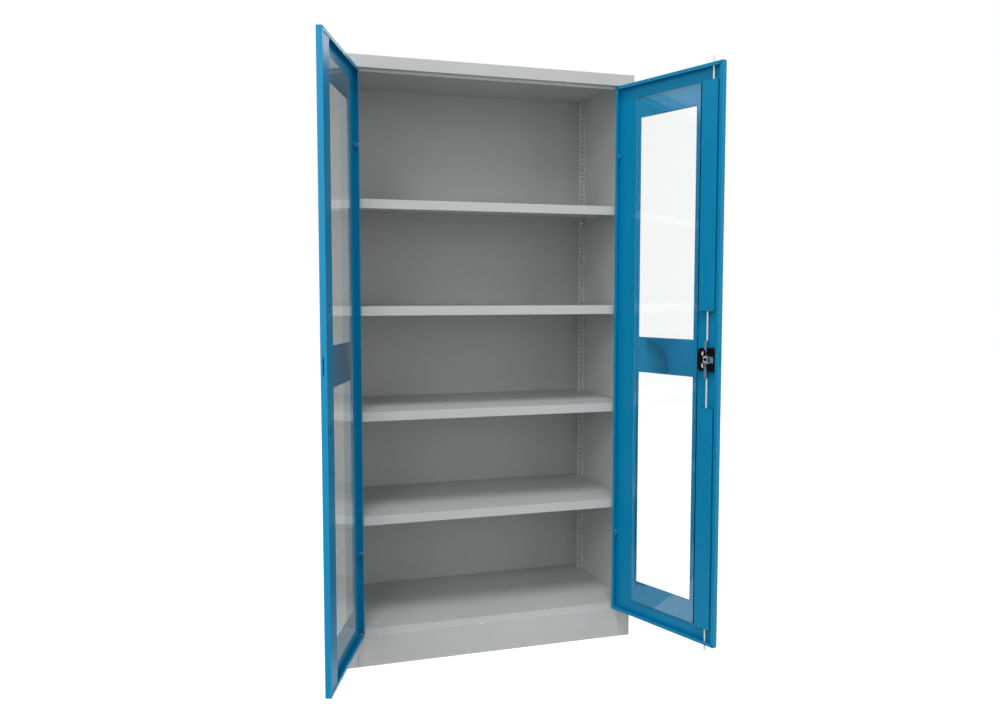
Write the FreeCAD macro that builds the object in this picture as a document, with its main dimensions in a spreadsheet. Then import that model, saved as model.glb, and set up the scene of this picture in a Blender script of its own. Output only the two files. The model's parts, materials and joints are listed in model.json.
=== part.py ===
import FreeCAD, Part
import math
import os
import re
import Sketcher

# Cabinet with two glazed doors. Millimetres and degrees, +Z up, front at -Y.
# The origin lies on the floor, under the middle of the cabinet.

os.makedirs("parts", exist_ok=True)
doc = FreeCAD.newDocument("Cabinet")
sheet = doc.addObject("Spreadsheet::Sheet", "Sizes")

SIZES = {
    # Carcass
    "cabinet_width": 1000,
    "cabinet_depth": 500,
    "cabinet_height": 1950,
    "carcass_sheet": 1,
    "post_width": 40,
    "post_depth": 50,
    "post_lip": 15,
    "rear_return": 25,
    "base_flange": 21,
    "back_inset": 20,
    "header_height": 38,
    "door_recess": 20,
    "stop_lip": 9,
    "top_flange": 60,
    "sill_height": 97.5,
    "floor_height": 116.5,
    "floor_flange": 30,
    "plinth_lip": 18,
    "plinth_seam": 1.2,
    "bush_wall": 2.2,
    "bush_rim": 1.5,
    "bush_rim_height": 0.8,
    "bush_depth": 6,
    # Shelf rails and shelves
    "rail_width": 25,
    "rail_depth": 20,
    "rail_sheet": 1.5,
    "rail_gap": 2,
    "rail_set": 52,
    "slot_width": 6,
    "slot_height": 9,
    "slot_pitch": 17.02,
    "slot_first": 136.65,
    "shelf_sheet": 1,
    "shelf_front": 23,
    "shelf_gap": 2,
    "wing_gap": 3,
    "shelf_fold": 29.4,
    "shelf_side_fold": 25,
    "shelf_return": 12,
    "stiffener_width": 60,
    "stiffener_depth": 15,
    "stiffener_end": 30,
    "clip_width": 20,
    "clip_sheet": 2,
    "clip_reach": 14,
    "clip_rise": 3,
    "clip_drop": 16,
    "clip_fit": 0.3,
    "hook_drop": 3,
    # Doors
    "open_angle": 110,
    "hinge_gap": 4.5,
    "centre_gap": 5,
    "door_gap": 2,
    "door_sheet": 1,
    "door_depth": 17.5,
    "door_lip": 11,
    "mitre_gap": 2.4,
    "relief_set": 4,
    "relief_size": 8,
    "hinge_stile": 106,
    "free_stile": 110,
    "bottom_rail": 123,
    "top_rail": 118,
    "middle_rail": 119,
    "lock_height": 1005.4,
    "latch_slot_height": 50,
    "latch_slot_rise": 9.6,
    "pane_thickness": 4,
    "tape_thickness": 1,
    "tape_width": 9,
    "pane_side_overlap": 20,
    "pane_free_overlap": 18,
    "pane_top_overlap": 68.5,
    "pane_bottom_overlap": 73.5,
    "channel_width": 60,
    "channel_set": 19,
    "channel_depth": 15,
    "channel_end_gap": 50.5,
    "left_channel_gap": 3,
    "channel_lock_gap": 151,
    # Hinges
    "hinge_top_set": 233,
    "hinge_bottom_set": 273.5,
    "pivot_set": 6.6,
    "pin_radius": 2.5,
    "pin_fit": 0.05,
    "pin_tail": 2,
    "pin_head_radius": 3.3,
    "pin_head_height": 1.5,
    "eye_radius": 5,
    "neck_offset": 0.5,
    "arm_thickness": 5,
    "arm_clearance": 2.6,
    "arm_bar": 8,
    "arm_slot_gap": 0.6,
    "arm_slot_skin": 0.6,
    "tab_thickness": 2.5,
    "tab_depth": 20,
    "tab_height": 44,
    "arm_fit": 0.2,
    "ear_gap": 0.4,
    "ear_thickness": 3,
    "ear_width": 9,
    "leaf_thickness": 2,
    "leaf_height": 48,
    "leaf_margin": 0.6,
    "leaf_screw_spread": 14.5,
    "leaf_screw_set": 8,
    "web_gap": 1,
    "web_thickness": 1.5,
    # Screws
    "screw_radius": 1.8,
    "screw_clearance": 0.3,
    "screw_head_radius": 3.5,
    "screw_head_height": 2.2,
    "top_screw_drop": 45,
    "top_screw_set": 110,
    # Lock and rods
    "rod_radius": 3,
    "rod_clearance": 0.4,
    "rod_set": 40,
    "rod_back": 9.5,
    "rod_jog": 9,
    "rod_jog_share": 0.5,
    "rod_throw": 20,
    "bolt_show": 6,
    "rod_end": 57,
    "knob_radius": 4,
    "knob_length": 3.4,
    "knob_set": 25,
    "knob_play": 0.5,
    "case_width": 66.5,
    "case_height": 73.5,
    "case_depth": 16,
    "case_set": 12,
    "case_floor": 7,
    "case_corner": 14,
    "cover_thickness": 2,
    "cover_slot": 12,
    "cover_window": 24,
    "cam_radius": 17,
    "cam_thickness": 3,
    "cam_gap": 0.5,
    "cam_pin_radius": 2.5,
    "cam_pin_circle": 14,
    "cam_pin_length": 5,
    "blade_thickness": 3,
    "blade_wall": 3,
    "blade_shoulder": 22,
    "blade_head": 9,
    "blade_tip": 3.5,
    "blade_play": 0.5,
    "tongue_width": 14,
    "tongue_drop": 9.4,
    "tongue_thickness": 2.5,
    "tongue_floor": 6.5,
    "tongue_length": 24,
    "tongue_recess": 2,
    "tongue_play": 0.25,
    "spindle_radius": 4,
    "spindle_clearance": 0.5,
    "plate_radius": 22,
    "plate_thickness": 3,
    "handle_gap": 0.4,
    "boss_radius": 14,
    "boss_length": 17,
    "grip_width": 18,
    "grip_thickness": 12,
    "grip_reach": 95,
    "grip_tail": 20,
    "plug_radius": 6,
    "plug_depth": 8,
    "plug_proud": 1,
    "plug_fit": 0.05,
    "lock_screw_set": 5.5,
    "lock_screw_spread": 44,
    # Reach of every cut past the face it goes through
    "overrun": 2,
}

for row, (alias, value) in enumerate(SIZES.items(), start=1):
    sheet.set("A%d" % row, alias)
    sheet.set("B%d" % row, str(value))
    sheet.setAlias("B%d" % row, alias)
doc.recompute()


def bind(text):
    """Point each size in an expression at its cell."""
    return re.sub(r"[a-z_]+", lambda word: "Sizes." + word[0] if word[0] in SIZES else word[0], text)


def place(item, x, y, z):
    for axis, text in zip("xyz", (x, y, z)):
        item.setExpression("Placement.Base." + axis, bind(text))
    return item


def mirror(side, span):
    """A span along X on the right side, or its mirror image on the left."""
    low, high = span
    if side > 0:
        return low, high
    return "-(%s)" % high, "-(%s)" % low


def box(x, y, z, side=1):
    item = doc.addObject("Part::Box", "Block")
    spans = (mirror(side, x), y, z)
    for size, (low, high) in zip(("Length", "Width", "Height"), spans):
        item.setExpression(size, bind("(%s) - (%s)" % (high, low)))
    return place(item, *[low for low, high in spans])


TURNS = {
    "x": FreeCAD.Rotation(FreeCAD.Vector(0, 1, 0), 90),
    "y": FreeCAD.Rotation(FreeCAD.Vector(1, 0, 0), -90),
    "z": FreeCAD.Rotation(),
}


def rod(axis, radius, span, across, side=1):
    """A cylinder along one axis; across holds its centre on the other two axes."""
    item = doc.addObject("Part::Cylinder", "Round")
    item.Placement = FreeCAD.Placement(FreeCAD.Vector(), TURNS[axis])
    item.setExpression("Radius", bind(radius))
    centre = list(across)
    if axis == "x":
        span = mirror(side, span)
    elif side < 0:
        centre[0] = "-(%s)" % centre[0]
    item.setExpression("Height", bind("(%s) - (%s)" % (span[1], span[0])))
    centre.insert("xyz".index(axis), span[0])
    return place(item, *centre)


def fuse(label, *items):
    item = doc.addObject("Part::MultiFuse", "Union")
    item.Shapes = list(items)
    item.Refine = True
    item.Label = label
    return item


def cut(label, base, *tools):
    item = doc.addObject("Part::Cut", "Cut")
    item.Base = base
    item.Tool = tools[0] if len(tools) == 1 else fuse(label + " cuts", *tools)
    item.Label = label
    return item


def group(label, *items):
    item = doc.addObject("Part::Compound", "Group")
    item.Links = list(items)
    item.Label = label
    return item


nodes = []


def node(item):
    nodes.append(item)
    return item


SIDES = (("right", 1), ("left", -1))

# Planes of the carcass
HALF = "cabinet_width / 2"
WALL = "(cabinet_width / 2 - carcass_sheet)"
POST = "(cabinet_width / 2 - post_width)"
FRONT = "(-cabinet_depth / 2)"
REAR = "(cabinet_depth / 2)"
BACK = "(cabinet_depth / 2 - back_inset)"
POST_BACK = "(-cabinet_depth / 2 + post_depth)"
STOP = "(-cabinet_depth / 2 + door_recess)"
ROOF = "(cabinet_height - carcass_sheet)"
HEADER = "(cabinet_height - header_height)"
RAIL_EDGE = "(cabinet_width / 2 - carcass_sheet - rail_width)"
RAIL_MID = "(cabinet_width / 2 - carcass_sheet - rail_width / 2)"
FRONT_RAIL = "(-cabinet_depth / 2 + post_depth + rail_gap + rail_depth)"
REAR_RAIL = "(cabinet_depth / 2 - back_inset - rail_set)"
RAIL_TOP = "(cabinet_height - carcass_sheet - rail_gap)"
FLANGE_LOW = "(cabinet_height - carcass_sheet - top_flange)"
SHELF_HALF = "(cabinet_width / 2 - carcass_sheet - rail_width - shelf_gap)"
WING_HALF = "(cabinet_width / 2 - carcass_sheet - wing_gap)"

# Door measures: along the width from the pin, front to back from the pin, and heights
DOOR_WIDTH = "(cabinet_width / 2 - post_width - hinge_gap - centre_gap / 2)"
DOOR_LOW = "(sill_height + door_gap)"
DOOR_HIGH = "(cabinet_height - header_height - door_gap)"
HINGES = (("upper", "(%s - hinge_top_set)" % DOOR_HIGH), ("lower", "(%s + hinge_bottom_set)" % DOOR_LOW))
PIVOT_X = "(cabinet_width / 2 - post_width - hinge_gap - pivot_set)"
PIVOT_Y = "(-cabinet_depth / 2 + pivot_set)"
ROD_X = "(centre_gap / 2 + rod_set)"
ROD_Y = "(-cabinet_depth / 2 + rod_back)"
ARM_BACK = "(door_depth - pivot_set + arm_clearance)"
POST_FACE = "(pivot_set + hinge_gap)"


def across(distance):
    """X of a point at a distance from the door's hinge edge."""
    return "(pivot_set - (%s))" % distance


def depth(distance):
    """Y of a point at a distance behind the door's face."""
    return "((%s) - pivot_set)" % distance


def door_box(side, u, v, z):
    return box((across(u[1]), across(u[0])), (depth(v[0]), depth(v[1])), z, side)


def door_rod(side, axis, radius, span, centre):
    """A cylinder of the door along depth or height; its centre starts with the distance u."""
    if axis == "y":
        span = (depth(span[0]), depth(span[1]))
        return rod(axis, radius, span, (across(centre[0]), centre[1]), side)
    return rod(axis, radius, span, (across(centre[0]), depth(centre[1])), side)


def hang(item, side):
    """Put a piece of a door on its pin, swung open."""
    sign = "" if side > 0 else "-"
    place(item, sign + PIVOT_X, PIVOT_Y, "0")
    item.setExpression("Placement.Rotation.Angle", bind(sign + "open_angle"))
    return node(item)


def screw_x(side, seat, tip, y, z):
    """A screw along X: its head lies inward of the seat, its shank ends at the tip."""
    head = rod("x", "screw_head_radius", (seat + " - screw_head_height", seat), (y, z), side)
    shank = rod("x", "screw_radius", (seat, tip), (y, z), side)
    return fuse("screw", head, shank)


def screw_hole_x(side, low, high, y, z):
    span = (low + " - overrun", high + " + overrun")
    return rod("x", "screw_radius + screw_clearance", span, (y, z), side)


# Carcass

TOP_SCREW_YS = (POST_BACK + " + top_screw_set", BACK + " - top_screw_set")
TOP_SCREW_Z = "cabinet_height - top_screw_drop"
TOP_FLANGE = "(cabinet_width / 2 - carcass_sheet - carcass_sheet)"
ARM_SLOT_YS = (PIVOT_Y + " + " + ARM_BACK + " - arm_fit", PIVOT_Y + " + " + ARM_BACK + " + arm_bar + arm_fit")

for name, side in SIDES:
    panel = fuse(
        name + " folds",
        box((WALL, HALF), (FRONT + " + carcass_sheet", REAR), ("0", ROOF), side),
        box((POST, HALF), (FRONT, FRONT + " + carcass_sheet"), ("0", HEADER), side),
        box((POST, POST + " + carcass_sheet"), (FRONT, POST_BACK), ("0", HEADER), side),
        box((POST, POST + " + post_lip"), (POST_BACK + " - carcass_sheet", POST_BACK), ("0", HEADER), side),
        box((HALF + " - rear_return", HALF), (REAR + " - carcass_sheet", REAR), ("0", ROOF), side),
        box((HALF + " - base_flange", HALF), (POST_BACK, REAR), ("0", "carcass_sheet"), side),
    )
    holes = [
        box((POST + " - overrun", POST + " + carcass_sheet + overrun"), ARM_SLOT_YS,
            (height + " - arm_thickness / 2 - arm_fit", height + " + arm_thickness / 2 + arm_fit"), side)
        for hinge, height in HINGES
    ]
    holes += [screw_hole_x(side, WALL, HALF, y, TOP_SCREW_Z) for y in TOP_SCREW_YS]
    node(cut(name + "_side_panel", panel, *holes))

top_folds = fuse(
    "top folds",
    box(("-" + HALF, HALF), (FRONT, REAR), (ROOF, "cabinet_height")),
    box(("-" + HALF, HALF), (FRONT, FRONT + " + carcass_sheet"), (HEADER, ROOF)),
    box(("-" + WALL, WALL), (FRONT, STOP + " + carcass_sheet"), (HEADER, HEADER + " + carcass_sheet")),
    box(("-" + POST, POST), (STOP, STOP + " + carcass_sheet"), (HEADER + " - stop_lip", HEADER)),
    *[box((TOP_FLANGE, WALL), (FRONT_RAIL + " + rail_gap", REAR_RAIL + " - rail_gap"), (FLANGE_LOW, ROOF), side)
      for name, side in SIDES]
)
top_holes = [
    rod("z", "rod_radius + rod_clearance", (HEADER + " - overrun", HEADER + " + carcass_sheet + overrun"),
        (ROD_X, ROD_Y), side)
    for name, side in SIDES
]
top_holes += [
    screw_hole_x(side, TOP_FLANGE, WALL, y, TOP_SCREW_Z) for name, side in SIDES for y in TOP_SCREW_YS
]
node(cut("top_panel", top_folds, *top_holes))

node(group("top_screws", *[
    screw_x(side, TOP_FLANGE, HALF, y, TOP_SCREW_Z) for name, side in SIDES for y in TOP_SCREW_YS
]))

node(fuse(
    "back_panel",
    box(("-" + WALL, WALL), (BACK, BACK + " + carcass_sheet"), ("carcass_sheet", ROOF)),
    *[box((TOP_FLANGE, WALL), (BACK, REAR + " - carcass_sheet"), ("carcass_sheet", ROOF), side)
      for name, side in SIDES]
))

FLOOR_UNDER = "(floor_height - carcass_sheet)"
node(fuse(
    "bottom_panel",
    box(("-" + WALL, WALL), (POST_BACK, BACK), (FLOOR_UNDER, "floor_height")),
    box(("-" + POST, POST), (STOP, POST_BACK), (FLOOR_UNDER, "floor_height")),
    box(("-" + POST, POST), (STOP, STOP + " + carcass_sheet"), ("sill_height - plinth_lip", "floor_height")),
    *[box((TOP_FLANGE, WALL), (POST_BACK, BACK), (FLOOR_UNDER + " - floor_flange", "floor_height"), side)
      for name, side in SIDES]
))

PLINTH = "(cabinet_width / 2 - post_width - plinth_seam)"
SILL_UNDER = "(sill_height - carcass_sheet)"
BUSH_RADIUS = "(rod_radius + rod_clearance + bush_wall)"
plinth = fuse(
    "plinth folds",
    box(("-" + PLINTH, PLINTH), (FRONT, FRONT + " + carcass_sheet"), ("0", "sill_height")),
    box(("-" + PLINTH, PLINTH), (FRONT, STOP), (SILL_UNDER, "sill_height")),
    box(("-" + PLINTH, PLINTH), (STOP + " - carcass_sheet", STOP),
        ("sill_height - plinth_lip", "sill_height")),
    box(("-" + PLINTH, PLINTH), (FRONT, FRONT + " + base_flange"), ("0", "carcass_sheet")),
    *[box((PLINTH + " - carcass_sheet", PLINTH), (FRONT, STOP), ("0", "sill_height"), side)
      for name, side in SIDES]
)
SILL_CUT = (SILL_UNDER + " - overrun", "sill_height + overrun")
node(cut(
    "plinth_front",
    plinth,
    rod("z", "rod_radius + rod_clearance", SILL_CUT, (ROD_X, ROD_Y), 1),
    rod("z", BUSH_RADIUS, SILL_CUT, (ROD_X, ROD_Y), -1),
))
bush = fuse(
    "bush body",
    rod("z", BUSH_RADIUS, ("sill_height - bush_depth", "sill_height"), (ROD_X, ROD_Y), -1),
    rod("z", BUSH_RADIUS + " + bush_rim", ("sill_height", "sill_height + bush_rim_height"),
        (ROD_X, ROD_Y), -1),
)
node(cut(
    "sill_bush",
    bush,
    rod("z", "rod_radius + rod_clearance",
        ("sill_height - bush_depth - overrun", "sill_height + bush_rim_height + overrun"),
        (ROD_X, ROD_Y), -1),
))

# Shelf rails, angles fixed to the wall, each with a row of slots


def origin_plane(body, role):
    return next(item for item in body.Origin.OriginFeatures if item.Role == role)


def sketch_rectangle(body, role, offset, width, height):
    """A rectangle that starts at the offset, on one of the body's own planes."""
    item = body.newObject("Sketcher::SketchObject", "Outline")
    item.AttachmentSupport = [(origin_plane(body, role), "")]
    item.MapMode = "FlatFace"
    for axis, text in zip("xyz", offset):
        item.setExpression("AttachmentOffset.Base." + axis, bind(text))
    corners = [FreeCAD.Vector(*point, 0) for point in ((0, 0), (1, 0), (1, 1), (0, 1))]
    for index, corner in enumerate(corners):
        item.addGeometry(Part.LineSegment(corner, corners[(index + 1) % len(corners)]), False)
    for index in range(len(corners)):
        following = (index + 1) % len(corners)
        item.addConstraint(Sketcher.Constraint("Coincident", index, 2, following, 1))
        item.addConstraint(Sketcher.Constraint("Vertical" if index % 2 else "Horizontal", index))
    item.addConstraint(Sketcher.Constraint("Coincident", 0, 1, -1, 1))
    for kind, line, text in (("DistanceX", 0, width), ("DistanceY", 1, height)):
        number = item.addConstraint(Sketcher.Constraint(kind, line, 1, line, 2, 1))
        item.setExpression("Constraints[%d]" % number, bind(text))
    return item


def feature(body, kind, profile, length):
    item = body.newObject("PartDesign::" + kind, kind)
    item.Profile = profile
    item.setExpression("Length", bind(length))
    profile.Visibility = False
    return item


# The slots fill the rail; the shelves divide them into equal bays
SHELF_COUNT = 4
SLOT_COUNT = "floor((%s - slot_first) / slot_pitch)" % RAIL_TOP
SHELF_STEP = "floor((%s - slot_first) / (%d * slot_pitch))" % (FLANGE_LOW, SHELF_COUNT + 1)
RAILS = (("front", FRONT_RAIL, -1), ("rear", REAR_RAIL, 1))


def beyond(face, sign, near, far):
    """A span along Y, counted from a rail's slotted face into the rail."""
    if sign > 0:
        return "%s + %s" % (face, near), "%s + %s" % (face, far)
    return "%s - (%s)" % (face, far), "%s - (%s)" % (face, near)


for name, side in SIDES:
    for end, face, sign in RAILS:
        body = doc.addObject("PartDesign::Body", "Rail")
        body.Label = "%s_%s_rail" % (name, end)
        outer = mirror(side, (RAIL_EDGE, WALL))
        inner = mirror(side, (RAIL_EDGE + " - overrun", WALL + " - rail_sheet"))
        whole = beyond(face, sign, "0", "rail_depth")
        behind = beyond(face, sign, "rail_sheet", "rail_depth + overrun")
        strip = beyond(face, sign, "0", "rail_sheet")
        feature(body, "Pad", sketch_rectangle(
            body, "XY_Plane", (outer[0], whole[0], "floor_height"), "rail_width", "rail_depth",
        ), RAIL_TOP + " - floor_height")
        feature(body, "Pocket", sketch_rectangle(
            body, "XY_Plane", (inner[0], behind[0], RAIL_TOP),
            "rail_width - rail_sheet + overrun", "rail_depth - rail_sheet + overrun",
        ), RAIL_TOP + " - floor_height")
        middle = RAIL_MID if side > 0 else "-" + RAIL_MID
        slot = feature(body, "Pocket", sketch_rectangle(
            body, "XZ_Plane",
            (middle + " - slot_width / 2", "slot_first - slot_height / 2", "overrun - (%s)" % strip[0]),
            "slot_width", "slot_height",
        ), "rail_sheet + 2 * overrun")
        body.Tip = slot
        doc.recompute()
        row = body.newObject("PartDesign::LinearPattern", "Row")
        row.Originals = [slot]
        row.Direction = (origin_plane(body, "Z_Axis"), [""])
        row.setExpression("Length", bind("slot_pitch * (%s - 1)" % SLOT_COUNT))
        row.setExpression("Occurrences", bind(SLOT_COUNT))
        body.Tip = row
        node(body)

# Shelves with their stiffeners and clips, counted from the floor up

SHELF_Y = FRONT + " + shelf_front"
SHELF_WIDE = POST_BACK + " + shelf_gap"
SHELF_BACK = "(cabinet_depth / 2 - back_inset - shelf_gap)"
SHELF_FACE = "(cabinet_width / 2 - post_width - shelf_gap)"
WING_YS = (FRONT_RAIL + " + shelf_gap", REAR_RAIL + " - shelf_gap")
HOOK_HALF = "(slot_height / 2 - clip_fit)"

for number in range(SHELF_COUNT):
    slot_z = "(slot_first + slot_pitch * (%d * %s - 1))" % (number + 1, SHELF_STEP)
    ledge = "(%s + clip_rise)" % slot_z
    top = "(%s + shelf_side_fold)" % ledge
    under = "(%s - shelf_sheet)" % top
    low = "(%s - shelf_fold)" % top
    plate = ("-" + SHELF_HALF, SHELF_HALF)
    wings = ("-" + WING_HALF, WING_HALF)
    narrow = ("-" + SHELF_FACE, SHELF_FACE)
    folds = []
    for name, side in SIDES:
        for low_y, high_y in ((SHELF_WIDE, WING_YS[0]), (WING_YS[1], SHELF_BACK)):
            folds.append(box((SHELF_HALF + " - shelf_sheet", SHELF_HALF), (low_y, high_y), (ledge, top), side))
        folds.append(box((WING_HALF + " - shelf_sheet", WING_HALF), WING_YS, (ledge, top), side))
        for low_y, high_y in ((WING_YS[0], WING_YS[0] + " + shelf_sheet"),
                              (WING_YS[1] + " - shelf_sheet", WING_YS[1])):
            folds.append(box((SHELF_HALF + " - shelf_sheet", WING_HALF), (low_y, high_y), (ledge, top), side))
    node(fuse(
        "shelf_%d" % (number + 1),
        box(plate, (SHELF_WIDE, SHELF_BACK), (under, top)),
        box(wings, WING_YS, (under, top)),
        box(narrow, (SHELF_Y, SHELF_WIDE), (under, top)),
        box(narrow, (SHELF_Y, SHELF_Y + " + shelf_sheet"), (low, top)),
        box(narrow, (SHELF_Y, SHELF_Y + " + shelf_return"), (low, low + " + shelf_sheet")),
        box(plate, (SHELF_BACK + " - shelf_sheet", SHELF_BACK), (ledge, top)),
        *folds
    ))
    beam = "(cabinet_width / 2 - carcass_sheet - wing_gap - stiffener_end)"
    beam_ys = ["(%s + %s %s stiffener_width) / 2" % (SHELF_Y, SHELF_BACK, sign) for sign in "-+"]
    beam_low = "(%s - stiffener_depth)" % under
    node(fuse(
        "shelf_stiffener_%d" % (number + 1),
        box(("-" + beam, beam), beam_ys, (beam_low, beam_low + " + shelf_sheet")),
        box(("-" + beam, beam), (beam_ys[0], beam_ys[0] + " + shelf_sheet"), (beam_low, under)),
        box(("-" + beam, beam), (beam_ys[1] + " - shelf_sheet", beam_ys[1]), (beam_low, under)),
    ))
    clips = []
    for name, side in SIDES:
        for end, face, sign in RAILS:
            width = (RAIL_MID + " - clip_width / 2", RAIL_MID + " + clip_width / 2")
            hook = (RAIL_MID + " - slot_width / 2 + clip_fit", RAIL_MID + " + slot_width / 2 - clip_fit")
            clips.append(fuse(
                "clip",
                box(width, beyond(face, sign, "-clip_reach", "0"), (ledge + " - clip_sheet", ledge), side),
                box(width, beyond(face, sign, "-clip_sheet", "0"), (slot_z + " - clip_drop", ledge), side),
                box(hook, beyond(face, sign, "0", "rail_sheet + clip_fit + clip_sheet"),
                    (slot_z + " - " + HOOK_HALF, slot_z + " + " + HOOK_HALF), side),
                box(hook, beyond(face, sign, "rail_sheet + clip_fit", "rail_sheet + clip_fit + clip_sheet"),
                    (slot_z + " - slot_height / 2 - hook_drop", slot_z), side),
            ))
    node(group("shelf_clips_%d" % (number + 1), *clips))

# Hinges: an arm let into the post, a leaf in the door, a pin through both

for name, side in SIDES:
    for end, height in HINGES:
        arm_z = (height + " - arm_thickness / 2", height + " + arm_thickness / 2")
        tab = (POST_FACE + " + carcass_sheet", POST_FACE + " + carcass_sheet + tab_thickness")
        arm = cut(
            "%s_%s_hinge_arm" % (name, end),
            fuse(
                "arm body",
                rod("z", "eye_radius", arm_z, ("0", "0"), side),
                box(("-eye_radius", "neck_offset"), ("0", ARM_BACK), arm_z, side),
                box(("-eye_radius", tab[1]), (ARM_BACK, ARM_BACK + " + arm_bar"), arm_z, side),
                box(tab, (ARM_BACK, ARM_BACK + " + tab_depth"),
                    (height + " - tab_height / 2", height + " + tab_height / 2"), side),
            ),
            rod("z", "pin_radius + pin_fit", (arm_z[0] + " - overrun", arm_z[1] + " + overrun"),
                ("0", "0"), side),
        )
        place(arm, ("" if side > 0 else "-") + PIVOT_X, PIVOT_Y, "0")
        node(arm)

LEAF_SEAT = "(pivot_set - door_sheet)"
LEAF_FACE = "(pivot_set - door_sheet - leaf_thickness)"
WEB_FACE = "(-eye_radius - web_gap)"
EAR = "(arm_thickness / 2 + ear_gap)"
LEAF_SCREW_ZS = ("- leaf_screw_spread", "+ leaf_screw_spread")
LEAF_YS = (depth("door_sheet + leaf_margin"), depth("door_depth - door_sheet - leaf_margin"))
EAR_YS = ("-ear_width / 2", "ear_width / 2")
WEB = (WEB_FACE + " - web_thickness", WEB_FACE)

for name, side in SIDES:
    pins, screws = [], []
    for end, height in HINGES:
        high_ear = (height + " + " + EAR, height + " + " + EAR + " + ear_thickness")
        low_ear = (height + " - " + EAR + " - ear_thickness", height + " - " + EAR)
        hang(cut(
            "%s_%s_hinge_leaf" % (name, end),
            fuse(
                "leaf body",
                box((LEAF_FACE, LEAF_SEAT), LEAF_YS, (high_ear[0], height + " + leaf_height / 2"), side),
                box((LEAF_FACE, LEAF_SEAT), LEAF_YS, (height + " - leaf_height / 2", low_ear[1]), side),
                box((WEB[0], LEAF_SEAT), EAR_YS, high_ear, side),
                box((WEB[0], LEAF_SEAT), EAR_YS, low_ear, side),
                box(WEB, EAR_YS, (low_ear[0], high_ear[1]), side),
            ),
            rod("z", "pin_radius + pin_fit", (low_ear[0] + " - overrun", high_ear[1] + " + overrun"),
                ("0", "0"), side),
            *[screw_hole_x(side, LEAF_FACE, LEAF_SEAT, depth("leaf_screw_set"), height + offset)
              for offset in LEAF_SCREW_ZS]
        ), side)
        pins.append(fuse(
            "pin",
            rod("z", "pin_radius", (low_ear[0] + " - pin_tail", high_ear[1]), ("0", "0"), side),
            rod("z", "pin_head_radius", (high_ear[1], high_ear[1] + " + pin_head_height"), ("0", "0"), side),
        ))
        screws += [
            screw_x(side, LEAF_FACE, "pivot_set", depth("leaf_screw_set"), height + offset)
            for offset in LEAF_SCREW_ZS
        ]
    hang(group(name + "_hinge_pins", *pins), side)
    hang(group(name + "_leaf_screws", *screws), side)

# Doors: folded trays, each with two windows behind one pane

WINDOW = ("hinge_stile", DOOR_WIDTH + " - free_stile")
MIDDLE = ("(lock_height - middle_rail / 2)", "(lock_height + middle_rail / 2)")
WINDOWS = ((DOOR_LOW + " + bottom_rail", MIDDLE[0]), (MIDDLE[1], DOOR_HIGH + " - top_rail"))
PANE_U = ("hinge_stile - pane_side_overlap", DOOR_WIDTH + " - free_stile + pane_free_overlap")
PANE_Z = (WINDOWS[0][0] + " - pane_bottom_overlap", WINDOWS[1][1] + " + pane_top_overlap")
ROD_U = "(%s - rod_set)" % DOOR_WIDTH
SPINDLE_U = "(%s - rod_set - rod_jog)" % DOOR_WIDTH
SKIN = ("-overrun", "door_sheet + overrun")
LIP = ("door_depth - door_sheet", "door_depth")
DOOR_Z = (DOOR_LOW, DOOR_HIGH)
DOOR_U = ("0", DOOR_WIDTH)
TONGUE_V = ("tongue_floor", "tongue_floor + tongue_thickness")
TONGUE_Z = ("lock_height - tongue_drop", "lock_height - tongue_drop + tongue_width")
KNOB_FAR = "(channel_lock_gap + knob_set + knob_radius + knob_play)"
KNOB_NEAR = "(channel_lock_gap + knob_set - rod_throw - knob_radius - knob_play)"
KNOB_SLOTS = (("lock_height + " + KNOB_NEAR, "lock_height + " + KNOB_FAR),
              ("lock_height - " + KNOB_FAR, "lock_height - " + KNOB_NEAR))
LATCH_SLOT_Z = ("lock_height + latch_slot_rise - latch_slot_height / 2",
                "lock_height + latch_slot_rise + latch_slot_height / 2")


def mitre(side, u, z, step_u, step_z):
    """A slit along the mitre of two lips, from a corner of the door inward."""
    item = doc.addObject("Part::Box", "Slit")
    angle = math.degrees(math.atan2(-step_z, -step_u * side))
    item.Placement = FreeCAD.Placement(FreeCAD.Vector(), FreeCAD.Rotation(FreeCAD.Vector(0, 1, 0), angle))
    item.setExpression("Length", bind("2 * door_lip"))
    item.setExpression("Width", bind("door_sheet + overrun"))
    item.setExpression("Height", bind("mitre_gap"))
    x = across(u) if side > 0 else "-" + across(u)
    return place(item, x, depth(LIP[0]), z)


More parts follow.
